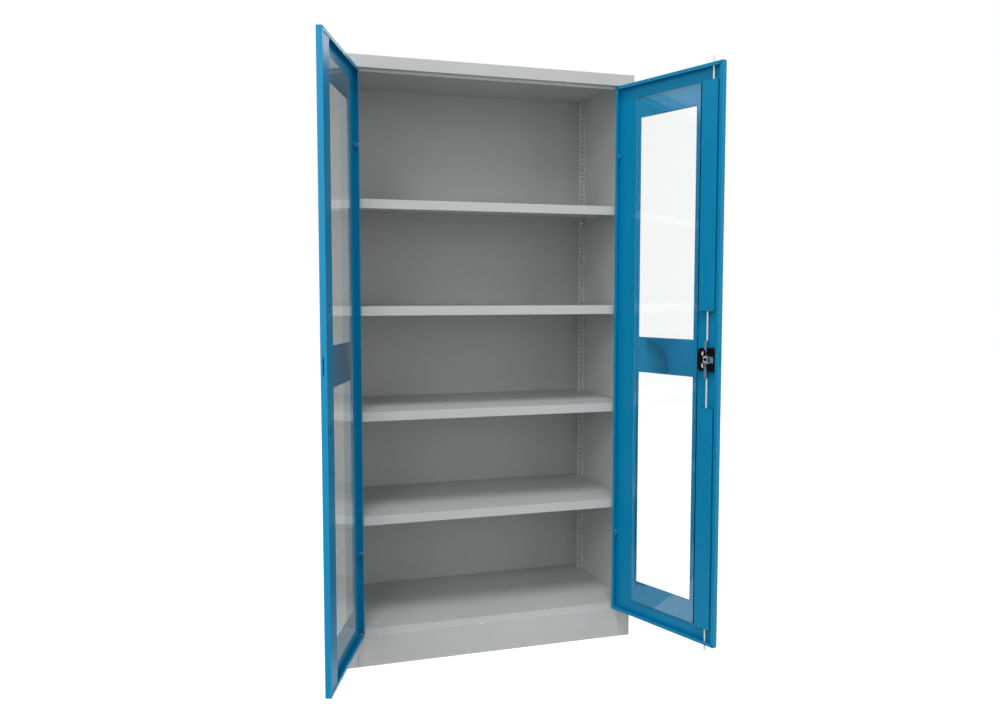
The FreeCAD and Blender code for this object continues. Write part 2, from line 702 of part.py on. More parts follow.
for name, side in SIDES:
    lip_u = (("0", "door_lip"), (DOOR_WIDTH + " - door_lip", DOOR_WIDTH))
    lip_z = ((DOOR_LOW, DOOR_LOW + " + door_lip"), (DOOR_HIGH + " - door_lip", DOOR_HIGH))
    tray_v = ("0", "door_depth")
    tray = fuse(
        name + " tray",
        door_box(side, DOOR_U, ("0", "door_sheet"), DOOR_Z),
        door_box(side, ("0", "door_sheet"), tray_v, DOOR_Z),
        door_box(side, (DOOR_WIDTH + " - door_sheet", DOOR_WIDTH), tray_v, DOOR_Z),
        door_box(side, DOOR_U, tray_v, (DOOR_LOW, DOOR_LOW + " + door_sheet")),
        door_box(side, DOOR_U, tray_v, (DOOR_HIGH + " - door_sheet", DOOR_HIGH)),
        *[door_box(side, u, LIP, DOOR_Z) for u in lip_u],
        *[door_box(side, DOOR_U, LIP, z) for z in lip_z]
    )
    arm_half = "(arm_thickness / 2 + arm_slot_gap)"
    cuts = [door_box(side, WINDOW, SKIN, z) for z in WINDOWS]
    cuts += [
        door_box(side, ("-overrun", "door_lip + overrun"),
                 ("door_sheet + arm_slot_skin", "door_depth + overrun"),
                 (height + " - " + arm_half, height + " + " + arm_half))
        for end, height in HINGES
    ]
    cuts += [
        screw_hole_x(side, LEAF_SEAT, "pivot_set", depth("leaf_screw_set"), height + offset)
        for end, height in HINGES for offset in LEAF_SCREW_ZS
    ]
    cuts += [
        door_rod(side, "z", "rod_radius + rod_clearance",
                 (z + " - overrun - door_sheet", z + " + overrun + door_sheet"), (ROD_U, "rod_back"))
        for z in DOOR_Z
    ]
    cuts += [
        door_box(side, (DOOR_WIDTH + " - door_sheet - overrun", DOOR_WIDTH + " + overrun"),
                 (TONGUE_V[0] + " - tongue_play", TONGUE_V[1] + " + tongue_play"), LATCH_SLOT_Z),
        door_box(side, ("-overrun", "door_sheet + overrun"), ("relief_set", "relief_set + relief_size"),
                 (DOOR_LOW + " + door_sheet", DOOR_LOW + " + door_sheet + relief_size")),
    ]
    cuts += [
        mitre(side, u, z, step_u, step_z)
        for u, step_u in (("0", 1), (DOOR_WIDTH, -1)) for z, step_z in ((DOOR_LOW, 1), (DOOR_HIGH, -1))
    ]
    if name == "right":
        cuts.append(door_rod(side, "y", "spindle_radius + spindle_clearance", SKIN,
                             (SPINDLE_U, "lock_height")))
    hang(cut(name + "_door_panel", tray, *cuts), side)

    tape_back = "door_sheet + tape_thickness"
    frame_u = ("hinge_stile - tape_width", WINDOW[1] + " + tape_width")
    frame_z = (WINDOWS[0][0] + " - tape_width", WINDOWS[1][1] + " + tape_width")
    hang(cut(
        name + "_glazing_tape",
        door_box(side, frame_u, ("door_sheet", tape_back), frame_z),
        *[door_box(side, WINDOW, ("door_sheet - overrun", tape_back + " + overrun"), z) for z in WINDOWS]
    ), side)
    hang(group(
        name + "_pane",
        door_box(side, PANE_U, (tape_back, tape_back + " + pane_thickness"), PANE_Z),
    ), side)

    channel_u = (DOOR_WIDTH + " - channel_set - channel_width", DOOR_WIDTH + " - channel_set")
    channel_top = "(door_sheet + channel_depth)"
    channel_z = (DOOR_LOW + " + channel_end_gap", DOOR_HIGH + " - channel_end_gap")
    runs = [("left_channel", (DOOR_LOW + " + left_channel_gap", DOOR_HIGH + " - left_channel_gap"))]
    if name == "right":
        runs = [("right_upper_channel", ("lock_height + channel_lock_gap", channel_z[1])),
                ("right_lower_channel", (channel_z[0], "lock_height - channel_lock_gap"))]
    for label, span in runs:
        walls = fuse(
            label + " folds",
            door_box(side, channel_u, (channel_top + " - door_sheet", channel_top), span),
            *[door_box(side, u, ("door_sheet", channel_top), span) for u in (
                (channel_u[0], channel_u[0] + " + door_sheet"),
                (channel_u[1] + " - door_sheet", channel_u[1]),
            )]
        )
        if name == "right":
            hang(group(label, walls), side)
        else:
            hang(cut(label, walls, *[
                door_box(side, (ROD_U + " - knob_radius - knob_play", ROD_U + " + knob_radius + knob_play"),
                         (channel_top + " - door_sheet - overrun", channel_top + " + overrun"), z)
                for z in KNOB_SLOTS
            ]), side)

# Left door: two bolts that are pushed by their knobs, which stand in slots of the channel

for end, sign in (("upper", 1), ("lower", -1)):
    toward = "+" if sign > 0 else "-"
    tip = DOOR_HIGH + " + bolt_show" if sign > 0 else DOOR_LOW + " - bolt_show"
    tail = "(lock_height %s (channel_lock_gap - rod_throw + bolt_show))" % toward
    span = (tail, tip) if sign > 0 else (tip, tail)
    hang(fuse(
        "left_%s_bolt" % end,
        door_rod(-1, "z", "rod_radius", span, (ROD_U, "rod_back")),
        door_rod(-1, "y", "knob_radius", ("rod_back", "rod_back + rod_radius + knob_length"),
                 (ROD_U, "lock_height %s (channel_lock_gap + knob_set - rod_throw + bolt_show)" % toward)),
    ), -1)

# Right door: lock with a cam that draws both rods in

CASE_V = ("door_sheet", "(door_sheet + case_depth)")
CASE_U = (DOOR_WIDTH + " - case_set - case_width", DOOR_WIDTH + " - case_set")
CASE_Z = ("lock_height - case_height / 2", "lock_height + case_height / 2")
PIT = "(door_sheet + case_floor)"
COVER_V = (CASE_V[1], "(door_sheet + case_depth + cover_thickness)")
OPEN_V = (PIT, CASE_V[1] + " + overrun")
CAM_V = (PIT + " + cam_gap", "(door_sheet + case_floor + cam_gap + cam_thickness)")
BLADE_V = (CAM_V[1] + " + cam_gap", CAM_V[1] + " + cam_gap + blade_thickness")
PIN_STEP = "(cam_pin_circle * sqrt(2) / 2)"
YOKE = "(cam_pin_radius + blade_play)"
BLADE_NEAR = "(%s - %s - blade_wall)" % (PIN_STEP, YOKE)
BLADE_FAR = "(cam_pin_circle + %s + blade_wall)" % YOKE
LOCK_SCREW_U = CASE_U[0] + " + lock_screw_set"
LOCK_SCREW_ZS = ("lock_height - lock_screw_spread / 2", "lock_height + lock_screw_spread / 2")



def case_block(v):
    """The lock's outline between two depths, round at the corners on the hinge side."""
    round_u = CASE_U[0] + " + case_corner"
    return fuse(
        "case outline",
        door_box(1, (round_u, CASE_U[1]), v, CASE_Z),
        door_box(1, (CASE_U[0], round_u), v, (CASE_Z[0] + " + case_corner", CASE_Z[1] + " - case_corner")),
        door_rod(1, "y", "case_corner", v, (round_u, CASE_Z[0] + " + case_corner")),
        door_rod(1, "y", "case_corner", v, (round_u, CASE_Z[1] + " - case_corner")),
    )


HEAD = "(blade_shoulder + blade_head + blade_play)"
hang(cut(
    "lock_case",
    case_block(CASE_V),
    door_box(1, (SPINDLE_U + " - " + BLADE_FAR + " - blade_play",
                 SPINDLE_U + " + " + BLADE_FAR + " + blade_play"),
             OPEN_V, ("lock_height - " + HEAD, "lock_height + " + HEAD)),
    door_box(1, (SPINDLE_U + " - rod_radius - blade_play", SPINDLE_U + " + rod_radius + blade_play"),
             (BLADE_V[0] + " - blade_play", OPEN_V[1]), (CASE_Z[0] + " - overrun", CASE_Z[1] + " + overrun")),
    door_box(1, (SPINDLE_U, CASE_U[1] + " + overrun"), (TONGUE_V[0] + " - tongue_play", OPEN_V[1]),
             (TONGUE_Z[0] + " - tongue_play", TONGUE_Z[1] + " + tongue_play")),
    door_rod(1, "y", "spindle_radius + spindle_clearance", ("-overrun", PIT + " + overrun"),
             (SPINDLE_U, "lock_height")),
    *[door_rod(1, "y", "screw_radius + screw_clearance", ("-overrun", OPEN_V[1]), (LOCK_SCREW_U, z))
      for z in LOCK_SCREW_ZS]
), 1)

cover_cut = (COVER_V[0] + " - overrun", COVER_V[1] + " + overrun")
hang(cut(
    "lock_cover",
    case_block(COVER_V),
    door_box(1, (SPINDLE_U + " - cover_slot / 2", SPINDLE_U + " + cover_slot / 2"), cover_cut,
             ("lock_height - " + HEAD, "lock_height + " + HEAD)),
    door_box(1, (SPINDLE_U, CASE_U[1] + " - case_set"), cover_cut,
             ("lock_height - cover_window / 2", "lock_height + cover_window / 2")),
    *[door_rod(1, "y", "screw_radius + screw_clearance", cover_cut, (LOCK_SCREW_U, z)) for z in LOCK_SCREW_ZS]
), 1)

hang(group("lock_screws", *[
    fuse(
        "lock screw",
        door_rod(1, "y", "screw_radius", (CASE_V[0], COVER_V[1]), (LOCK_SCREW_U, z)),
        door_rod(1, "y", "screw_head_radius", (COVER_V[1], COVER_V[1] + " + screw_head_height"),
                 (LOCK_SCREW_U, z)),
    )
    for z in LOCK_SCREW_ZS
]), 1)

pin_v = (CAM_V[0], CAM_V[1] + " + cam_pin_length")
hang(fuse(
    "lock_cam",
    door_rod(1, "y", "cam_radius", CAM_V, (SPINDLE_U, "lock_height")),
    door_rod(1, "y", "cam_pin_radius", pin_v, (SPINDLE_U + " + " + PIN_STEP, "lock_height + " + PIN_STEP)),
    door_rod(1, "y", "cam_pin_radius", pin_v, (SPINDLE_U + " - " + PIN_STEP, "lock_height - " + PIN_STEP)),
), 1)

for end, sign in (("upper", 1), ("lower", -1)):
    toward, away = ("+", "-") if sign > 0 else ("-", "+")
    tip = DOOR_HIGH + " + rod_throw" if sign > 0 else DOOR_LOW + " - rod_throw"
    outside = DOOR_HIGH if sign > 0 else DOOR_LOW
    bend = "(lock_height %s channel_lock_gap + (%s - (lock_height %s channel_lock_gap)) * rod_jog_share)" % (
        toward, outside, toward)
    foot = "(lock_height %s rod_end)" % toward
    tail = "(lock_height %s (%s - %s - blade_tip))" % (toward, PIN_STEP, YOKE)
    shoulder = "(lock_height %s blade_shoulder)" % toward
    head = "(lock_height %s (blade_shoulder + blade_head))" % toward

    def rising(near, far):
        return (near, far) if sign > 0 else (far, near)

    yoke_u = (SPINDLE_U + " - " + BLADE_FAR, SPINDLE_U + " - " + BLADE_NEAR)
    slot_u = (SPINDLE_U + " - cam_pin_circle - " + YOKE, SPINDLE_U + " - " + PIN_STEP + " + " + YOKE)
    neck_u = (SPINDLE_U + " - " + BLADE_FAR, SPINDLE_U + " + rod_radius")
    if sign > 0:
        yoke_u = (SPINDLE_U + " + " + BLADE_NEAR, SPINDLE_U + " + " + BLADE_FAR)
        slot_u = (SPINDLE_U + " + " + PIN_STEP + " - " + YOKE, SPINDLE_U + " + cam_pin_circle + " + YOKE)
        neck_u = (SPINDLE_U + " - rod_radius", SPINDLE_U + " + " + BLADE_FAR)
    elbows = []
    for u in (ROD_U, SPINDLE_U):
        ball = doc.addObject("Part::Sphere", "Elbow")
        ball.setExpression("Radius", bind("rod_radius"))
        elbows.append(place(ball, across(u), depth("rod_back"), bend))
    pin_z = "(lock_height %s %s)" % (toward, PIN_STEP)
    hang(cut(
        end + "_rod",
        fuse(
            "rod body",
            door_rod(1, "z", "rod_radius", rising(bend, tip), (ROD_U, "rod_back")),
            rod("x", "rod_radius", (across(ROD_U), across(SPINDLE_U)), (depth("rod_back"), bend)),
            door_rod(1, "z", "rod_radius", rising(foot, bend), (SPINDLE_U, "rod_back")),
            door_box(1, neck_u, BLADE_V, rising(shoulder, head)),
            door_box(1, (SPINDLE_U + " - rod_radius", SPINDLE_U + " + rod_radius"), BLADE_V,
                     rising(shoulder, foot)),
            door_box(1, (SPINDLE_U + " - rod_radius", SPINDLE_U + " + rod_radius"),
                     ("rod_back - rod_radius", BLADE_V[1]),
                     rising(foot, foot + " %s rod_radius" % toward)),
            door_box(1, yoke_u, BLADE_V, rising(tail, head)),
            *elbows
        ),
        door_box(1, slot_u, (BLADE_V[0] + " - overrun", BLADE_V[1] + " + overrun"),
                 (pin_z + " - " + YOKE, pin_z + " + " + YOKE)),
    ), 1)

TONGUE_U = (DOOR_WIDTH + " - tongue_recess - tongue_length", DOOR_WIDTH + " - tongue_recess")
hang(group("latch_tongue", door_box(1, TONGUE_U, TONGUE_V, TONGUE_Z)), 1)

# Outside of the right door: plate, turn handle and key plug

BOSS = "(-plate_thickness - handle_gap)"
BOSS_END = "(-plate_thickness - handle_gap - boss_length)"
GRIP_END = "(-plate_thickness - handle_gap - boss_length - grip_thickness)"
hang(cut(
    "handle_plate",
    door_rod(1, "y", "plate_radius", ("-plate_thickness", "0"), (SPINDLE_U, "lock_height")),
    door_rod(1, "y", "spindle_radius + spindle_clearance", ("-plate_thickness - overrun", "overrun"),
             (SPINDLE_U, "lock_height")),
), 1)

hang(cut(
    "turn_handle",
    fuse(
        "handle body",
        door_rod(1, "y", "boss_radius", (GRIP_END, BOSS), (SPINDLE_U, "lock_height")),
        door_box(1, (SPINDLE_U + " - grip_width / 2", SPINDLE_U + " + grip_width / 2"), (GRIP_END, BOSS_END),
                 ("lock_height - grip_reach", "lock_height + grip_tail")),
        door_rod(1, "y", "spindle_radius", (BOSS_END, CAM_V[0]), (SPINDLE_U, "lock_height")),
    ),
    door_rod(1, "y", "plug_radius + plug_fit", (GRIP_END + " - overrun", GRIP_END + " + plug_depth"),
             (SPINDLE_U, "lock_height")),
), 1)
hang(group(
    "key_plug",
    door_rod(1, "y", "plug_radius", (GRIP_END + " - plug_proud", GRIP_END + " + plug_depth"),
             (SPINDLE_U, "lock_height")),
), 1)

doc.recompute()

for item in doc.Objects:
    if "Invalid" in item.State or "Error" in item.State:
        raise RuntimeError("%s %s cannot be built: %s" % (item.Name, item.Label, item.State))

for item in nodes:
    if item.Shape.isNull() or not item.Shape.isValid():
        raise RuntimeError("%s has no valid shape" % item.Label)

for item in nodes:
    item.Shape.exportStep("parts/%s.step" % item.Label)
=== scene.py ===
import json
import math

import bmesh
import bpy
from mathutils import Matrix, Vector


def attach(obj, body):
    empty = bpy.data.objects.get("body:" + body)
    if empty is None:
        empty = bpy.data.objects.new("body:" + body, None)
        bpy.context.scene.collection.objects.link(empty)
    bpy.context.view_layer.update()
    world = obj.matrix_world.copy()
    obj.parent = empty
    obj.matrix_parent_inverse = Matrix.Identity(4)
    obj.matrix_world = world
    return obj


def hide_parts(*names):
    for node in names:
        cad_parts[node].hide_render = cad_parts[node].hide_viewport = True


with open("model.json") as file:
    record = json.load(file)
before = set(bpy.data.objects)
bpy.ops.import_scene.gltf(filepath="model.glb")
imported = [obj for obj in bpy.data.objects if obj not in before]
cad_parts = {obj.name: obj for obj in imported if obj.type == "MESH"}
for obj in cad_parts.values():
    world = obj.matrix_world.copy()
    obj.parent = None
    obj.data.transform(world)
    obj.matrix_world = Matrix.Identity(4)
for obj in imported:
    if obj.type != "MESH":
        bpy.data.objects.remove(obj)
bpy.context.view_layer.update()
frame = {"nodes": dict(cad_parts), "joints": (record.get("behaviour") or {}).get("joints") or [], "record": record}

bl_info = {
    "name": "Glazed Double-Door Cabinet",
    "version": (1, 0, 0),
    "blender": (4, 5, 0),
    "location": "View3D > Sidebar > Cabinet",
    "description": "Dresses a steel cabinet with two glazed doors and sets it in a studio",
    "category": "Object",
}

MM = 0.001
JOINTS = {joint["name"]: joint for joint in frame["joints"]}
BODY_NODES = frame["record"]["behaviour"]["bodies"]


def door_matrix(side):
    """From a shut door's own frame, on its pin, to where the door stands open."""
    joint = JOINTS[side + "_door_swing"]
    turn = math.radians(-joint["range_deg"][0])
    pin = Vector(joint["pos_m"][:2] + [0])
    return Matrix.Translation(pin) @ Matrix.Rotation(turn, 4, Vector(joint["axis"]))


def node_points(node):
    """The points of a node's mesh."""
    return [vertex.co for vertex in frame["nodes"][node].data.vertices]


def points_box(points):
    """Lowest and highest corner of the box round some points."""
    low = Vector([min(point[axis] for point in points) for axis in range(3)])
    high = Vector([max(point[axis] for point in points) for axis in range(3)])
    return low, high


def points_middle(points):
    """Middle of the box round some points."""
    low, high = points_box(points)
    return (low + high) / 2


def local_box(node, matrix):
    """Lowest and highest corner of a node in another frame."""
    back = matrix.inverted()
    return points_box([back @ point for point in node_points(node)])


def right_door_frame():
    """The right door's own measures: distance from the hinge edge, depth behind the face, height."""
    shut = door_matrix("right")
    low, high = local_box("right_door_panel", shut)
    return shut @ Matrix.Translation((high.x, low.y, 0.0)) @ Matrix.Diagonal((-1.0, 1.0, 1.0, 1.0))


RIGHT = right_door_frame()
# Drawing plane of flat pieces on the right door: across, up, then depth
RIGHT_PLATE = RIGHT @ Matrix(((1, 0, 0, 0), (0, 0, 1, 0), (0, 1, 0, 0), (0, 0, 0, 1)))


def solids(node):
    """The separate solids of a node, each as a list of points."""
    mesh = bmesh.new()
    mesh.from_mesh(frame["nodes"][node].data)
    bmesh.ops.remove_doubles(mesh, verts=mesh.verts, dist=0.01 * MM)
    left = set(mesh.verts)
    groups = []
    while left:
        reached = [left.pop()]
        for vertex in reached:
            for edge in vertex.link_edges:
                other = edge.other_vert(vertex)
                if other in left:
                    left.remove(other)
                    reached.append(other)
        groups.append([vertex.co.copy() for vertex in reached])
    mesh.free()
    return sorted(groups, key=lambda points: tuple(round(value, 4) for value in points_middle(points)))


class CabinetColours(bpy.types.PropertyGroup):
    """Colours of the coats, metals, glass and floor"""
    carcass: bpy.props.StringProperty(
        name="Carcass", description="Light grey powder coat of the carcass, as sRGB hex",
        default="#C9CBC9")
    door: bpy.props.StringProperty(
        name="Doors", description="Blue powder coat of the doors, as sRGB hex", default="#0092C4")
    rod: bpy.props.StringProperty(
        name="Rods", description="Bright zinc of the lock rods, as sRGB hex", default="#EEF0F0")
    # The blades' blue is a painted reflection of the blue door on bright zinc
    blade: bpy.props.StringProperty(
        name="Rod blades", description="Blue passivated zinc of the rods' flat ends, as sRGB hex",
        default="#6E9AB4")
    zinc: bpy.props.StringProperty(
        name="Fittings", description="Zinc plating of hinges, clips and screws, as sRGB hex",
        default="#D3D6D8")
    moulding: bpy.props.StringProperty(
        name="Lock and handle", description="Black of the moulded lock and handle, as sRGB hex",
        default="#08090A")
    # The bush's white is partly its own and partly painted light: the bright floor seen through the sill's hole
    nylon: bpy.props.StringProperty(
        name="Bush", description="White of the sill bush, as sRGB hex", default="#EFEFEA")
    glass: bpy.props.StringProperty(
        name="Glass", description="Tint of the panes, as sRGB hex", default="#FEFFFF")
    glass_shadow: bpy.props.StringProperty(
        name="Glass shadow", description="Light the panes let through to what lies behind, as sRGB hex",
        default="#F0F2F2")
    # Dark navy of the panes' edges: painted shade along the pane rims, drawn on their ground edges
    pane_edge_shade: bpy.props.StringProperty(
        name="Glass edge", description="Dark ground edge of the panes, as sRGB hex", default="#0C2E42")
    floor: bpy.props.StringProperty(
        name="Floor", description="Pale studio floor, as sRGB hex", default="#A8A8A8")


class CabinetFinish(bpy.types.PropertyGroup):
    """Sizes of the rounded edges and of the coat's texture"""
    # Rounding stays under half of the sheet's thickness, so that a sheet's edge keeps a flat face
    fold_radius: bpy.props.FloatProperty(
        name="Fold radius", description="Rounding of the carcass's folds", default=0.45 * MM,
        unit="LENGTH")
    door_radius: bpy.props.FloatProperty(
        name="Door radius", description="Rounding of the doors' folds", default=0.45 * MM, unit="LENGTH")
    fitting_radius: bpy.props.FloatProperty(
        name="Fitting radius", description="Rounding of hinges and lock pieces", default=0.4 * MM,
        unit="LENGTH")
    peel: bpy.props.FloatProperty(
        name="Coat texture", description="Width of one dimple of the powder coat", default=5 * MM,
        unit="LENGTH")


class CabinetStage(bpy.types.PropertyGroup):
    """Place of the camera and strength of the light"""
    camera_place: bpy.props.FloatVectorProperty(
        name="Camera", description="Where the camera stands", default=(-0.8515, -3.0823, 1.2142),
        subtype="TRANSLATION")
    camera_yaw: bpy.props.FloatProperty(
        name="Yaw", description="Turn of the camera to the left", default=math.radians(-17.128),
        unit="ROTATION")
    camera_pitch: bpy.props.FloatProperty(
        name="Pitch", description="Tilt of the camera upward", default=math.radians(-4.134),
        unit="ROTATION")
    camera_lens: bpy.props.FloatProperty(
        name="Lens", description="Focal length on a sensor 36 mm wide", default=32.207, unit="CAMERA")
    key_power: bpy.props.FloatProperty(
        name="Key light", description="Power of the large lamp high in front", default=590, unit="POWER")
    front_power: bpy.props.FloatProperty(
        name="Front light", description="Power of the smaller lamp in front on the left", default=52,
        unit="POWER")
    side_power: bpy.props.FloatProperty(
        name="Side light", description="Power of the broad lamp on the left", default=44, unit="POWER")
    fill_power: bpy.props.FloatProperty(
        name="Fill light", description="Power of the lamp on the right", default=30, unit="POWER")
    rear_power: bpy.props.FloatProperty(
        name="Rear light", description="Power of the lamp behind the cabinet", default=70, unit="POWER")
    sky: bpy.props.FloatProperty(
        name="Sky", description="Strength of the even light from all round", default=0.3)


def linear(text):
    """Linear RGBA from an sRGB hex colour."""
    parts = [int(text[index:index + 2], 16) / 255 for index in (1, 3, 5)]
    return [part / 12.92 if part <= 0.04045 else ((part + 0.055) / 1.055) ** 2.4
            for part in parts] + [1.0]


def add(tree, kind, settings=None, links=None):
    """Add one node, set its values and link its inputs."""
    node = tree.nodes.new(kind)
    for name, value in (settings or {}).items():
        if name in node.inputs:
            node.inputs[name].default_value = value
        else:
            setattr(node, name, value)
    for name, socket in (links or {}).items():
        tree.links.new(socket, node.inputs[name])
    return node


def new_material(name):
    """An empty node material and its tree."""
    material = bpy.data.materials.new(name)
    material.use_nodes = True
    tree = material.node_tree
    tree.nodes.clear()
    return material, tree


def powder_coat(name, colour, roughness, peel, shine=0.5):
    """Baked powder coat on sheet steel: an even colour under a satin skin with a faint orange peel.
    The real dimples, about 1.5 mm wide, are drawn wider so that they show."""
    material, tree = new_material(name)
    place = add(tree, "ShaderNodeTexCoord").outputs["Object"]
    dimples = add(tree, "ShaderNodeTexNoise", {"Scale": 1 / peel, "Detail": 2.0}, {"Vector": place})
    clouds = add(tree, "ShaderNodeTexNoise", {"Scale": 1 / (220 * MM), "Detail": 3.0}, {"Vector": place})
    shade = add(tree, "ShaderNodeMapRange", {"To Min": 0.965, "To Max": 1.035},
                {"Value": clouds.outputs["Fac"]})
    gloss = add(tree, "ShaderNodeMapRange", {"To Min": roughness - 0.06, "To Max": roughness + 0.06},
                {"Value": clouds.outputs["Fac"]})
    tint = add(tree, "ShaderNodeHueSaturation", {"Color": linear(colour)},
               {"Value": shade.outputs["Result"]})
    bump = add(tree, "ShaderNodeBump", {"Strength": 0.16, "Distance": 0.12 * MM},
               {"Height": dimples.outputs["Fac"]})
    skin = add(tree, "ShaderNodeBsdfPrincipled", {"IOR": 1.5, "Specular IOR Level": shine}, {
        "Base Color": tint.outputs["Color"], "Roughness": gloss.outputs["Result"],
        "Normal": bump.outputs["Normal"]})
    add(tree, "ShaderNodeOutputMaterial", links={"Surface": skin.outputs["BSDF"]})
    return material


def float_glass(name, colour, shade):
    """Float glass: clear and flat, with bright reflections. It dims the lamps on what lies behind it."""
    material, tree = new_material(name)
    place = add(tree, "ShaderNodeTexCoord").outputs["Object"]
    haze = add(tree, "ShaderNodeTexNoise", {"Scale": 1 / (160 * MM), "Detail": 2.0}, {"Vector": place})
    film = add(tree, "ShaderNodeMapRange", {"To Min": 0.0, "To Max": 0.02},
               {"Value": haze.outputs["Fac"]})
    pane = add(tree, "ShaderNodeBsdfPrincipled", {
        "Base Color": linear(colour), "IOR": 1.52, "Transmission Weight": 1.0}, {
        "Roughness": film.outputs["Result"]})
    clear = add(tree, "ShaderNodeBsdfTransparent", {"Color": linear(shade)})
    to_lamp = add(tree, "ShaderNodeLightPath").outputs["Is Shadow Ray"]
    mix = add(tree, "ShaderNodeMixShader", links={"Fac": to_lamp})
    tree.links.new(pane.outputs["BSDF"], mix.inputs[1])
    tree.links.new(clear.outputs["BSDF"], mix.inputs[2])
    add(tree, "ShaderNodeOutputMaterial", links={"Surface": mix.outputs["Shader"]})
    return material


def zinc_plate(name, colour, roughness, metallic):
    """Zinc plating on rolled or drawn steel: bright metal with faint streaks along its length."""
    material, tree = new_material(name)
    place = add(tree, "ShaderNodeTexCoord").outputs["Object"]
    stretched = add(tree, "ShaderNodeMapping", {"Scale": (1.0, 1.0, 0.15)}, {"Vector": place})
    streaks = add(tree, "ShaderNodeTexNoise", {"Scale": 1 / (1.2 * MM), "Detail": 3.0},
                  {"Vector": stretched.outputs["Vector"]})
    gloss = add(tree, "ShaderNodeMapRange", {"To Min": roughness - 0.08, "To Max": roughness + 0.08},
                {"Value": streaks.outputs["Fac"]})
    shade = add(tree, "ShaderNodeMapRange", {"To Min": 0.93, "To Max": 1.05},
                {"Value": streaks.outputs["Fac"]})
    tint = add(tree, "ShaderNodeHueSaturation", {"Color": linear(colour)},
               {"Value": shade.outputs["Result"]})
    bump = add(tree, "ShaderNodeBump", {"Strength": 0.1, "Distance": 0.05 * MM},
               {"Height": streaks.outputs["Fac"]})
    plate = add(tree, "ShaderNodeBsdfPrincipled", {"Metallic": metallic}, {
        "Base Color": tint.outputs["Color"], "Roughness": gloss.outputs["Result"],
        "Normal": bump.outputs["Normal"]})
    add(tree, "ShaderNodeOutputMaterial", links={"Surface": plate.outputs["BSDF"]})
    return material


def moulded_plastic(name, colour, roughness, shine=0.5):
    """Injection-moulded plastic: even colour with a fine spark-eroded grain from the mould."""
    material, tree = new_material(name)
    place = add(tree, "ShaderNodeTexCoord").outputs["Object"]
    grain = add(tree, "ShaderNodeTexNoise", {"Scale": 1 / (0.7 * MM), "Detail": 2.0}, {"Vector": place})
    gloss = add(tree, "ShaderNodeMapRange", {"To Min": roughness - 0.07, "To Max": roughness + 0.07},
                {"Value": grain.outputs["Fac"]})
    bump = add(tree, "ShaderNodeBump", {"Strength": 0.25, "Distance": 0.06 * MM},
               {"Height": grain.outputs["Fac"]})
    skin = add(tree, "ShaderNodeBsdfPrincipled", {
        "Base Color": linear(colour), "IOR": 1.53, "Specular IOR Level": shine}, {
        "Roughness": gloss.outputs["Result"], "Normal": bump.outputs["Normal"]})
    add(tree, "ShaderNodeOutputMaterial", links={"Surface": skin.outputs["BSDF"]})
    return material


def finish_of(slot):
    """The material of one of the record's slots, made when first asked for."""
    name = FINISHES[slot][0]
    return bpy.data.materials.get(name) or FINISHES[slot][1](name)


def colours():
    """The colours as set in the sidebar."""
    return bpy.context.scene.cabinet_colours


def finish():
    """The finish as set in the sidebar."""
    return bpy.context.scene.cabinet_finish


FINISHES = {
    "carcass_paint": ("powder_coat_light_grey", lambda name: powder_coat(
        name, colours().carcass, 0.5, finish().peel)),
    "door_paint": ("powder_coat_blue", lambda name: powder_coat(
        name, colours().door, 0.4, finish().peel, 0.25)),
    "black_steel": ("black_oxide_steel", lambda name: zinc_plate(name, colours().moulding, 0.45, 0.6)),
    "tape": ("acrylic_tape_blue", lambda name: powder_coat(name, colours().door, 0.6, finish().peel)),
    "glass": ("float_glass_clear", lambda name: float_glass(
        name, colours().glass, colours().glass_shadow)),
    # Dark pane rims: ground edges with painted shade along them
    "pane_edge_shade": ("float_glass_ground_edge", lambda name: moulded_plastic(
        name, colours().pane_edge_shade, 0.6)),
    "zinc": ("zinc_plated_steel", lambda name: zinc_plate(name, colours().zinc, 0.34, 1.0)),
    "rod_coat": ("galvanised_drawn_steel", lambda name: zinc_plate(name, colours().rod, 0.42, 0.15)),
    # Zinc with the blue door's reflection painted into its colour
    "blade": ("zinc_blue_passivated", lambda name: zinc_plate(name, colours().blade, 0.4, 0.3)),
    "black_plastic": ("polyamide_moulded_black", lambda name: moulded_plastic(
        name, colours().moulding, 0.4, 0.1)),
    # White nylon, whose brightness also paints the light seen through the sill's hole
    "nylon": ("nylon_moulded_white", lambda name: moulded_plastic(name, colours().nylon, 0.5)),
    "key_metal": ("nickel_plated_brass", lambda name: zinc_plate(name, colours().zinc, 0.22, 1.0)),
}

SLOT_OF = {row["node"]: row["material_slot"] for row in frame["record"]["subparts"]}


def round_edges(obj, radius):
    """Round an object's edges by modifiers and shade its faces evenly."""
    if radius:
        rounding = obj.modifiers.new("Rounded edges", "BEVEL")
        rounding.width = radius
        rounding.segments = 2
        rounding.limit_method = "ANGLE"
        rounding.angle_limit = math.radians(40)
        rounding.use_clamp_overlap = True
    obj.modifiers.new("Even shading", "WEIGHTED_NORMAL")


def dress(node, radius):
    """Give a node its finish, and round its edges as folding and tumbling leave them."""
    obj = frame["nodes"][node]
    for place in obj.material_slots:
        place.material = finish_of(SLOT_OF[node])
    weld = obj.modifiers.new("Weld", "WELD")
    weld.merge_threshold = 0.005 * MM
    # Flat faces are joined first, since rounding a hole's rim would fold the long triangles beside it
    flat = obj.modifiers.new("Flat faces", "DECIMATE")
    flat.decimate_type = "DISSOLVE"
    flat.angle_limit = math.radians(0.5)
    round_edges(obj, radius)


def piece(name, mesh, slot, body, nodes=(), radius=0.0, look=None):
    """A modelled piece that rides on a body and stands for some nodes."""
    data = bpy.data.meshes.new(name)
    bmesh.ops.recalc_face_normals(mesh, faces=mesh.faces)
    mesh.to_mesh(data)
    mesh.free()
    obj = bpy.data.objects.new(name, data)
    bpy.context.scene.collection.objects.link(obj)
    obj.data.materials.append(finish_of(look or slot))
    obj.data.shade_smooth()
    round_edges(obj, radius)
    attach(obj, body)
    if nodes:
        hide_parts(*nodes)


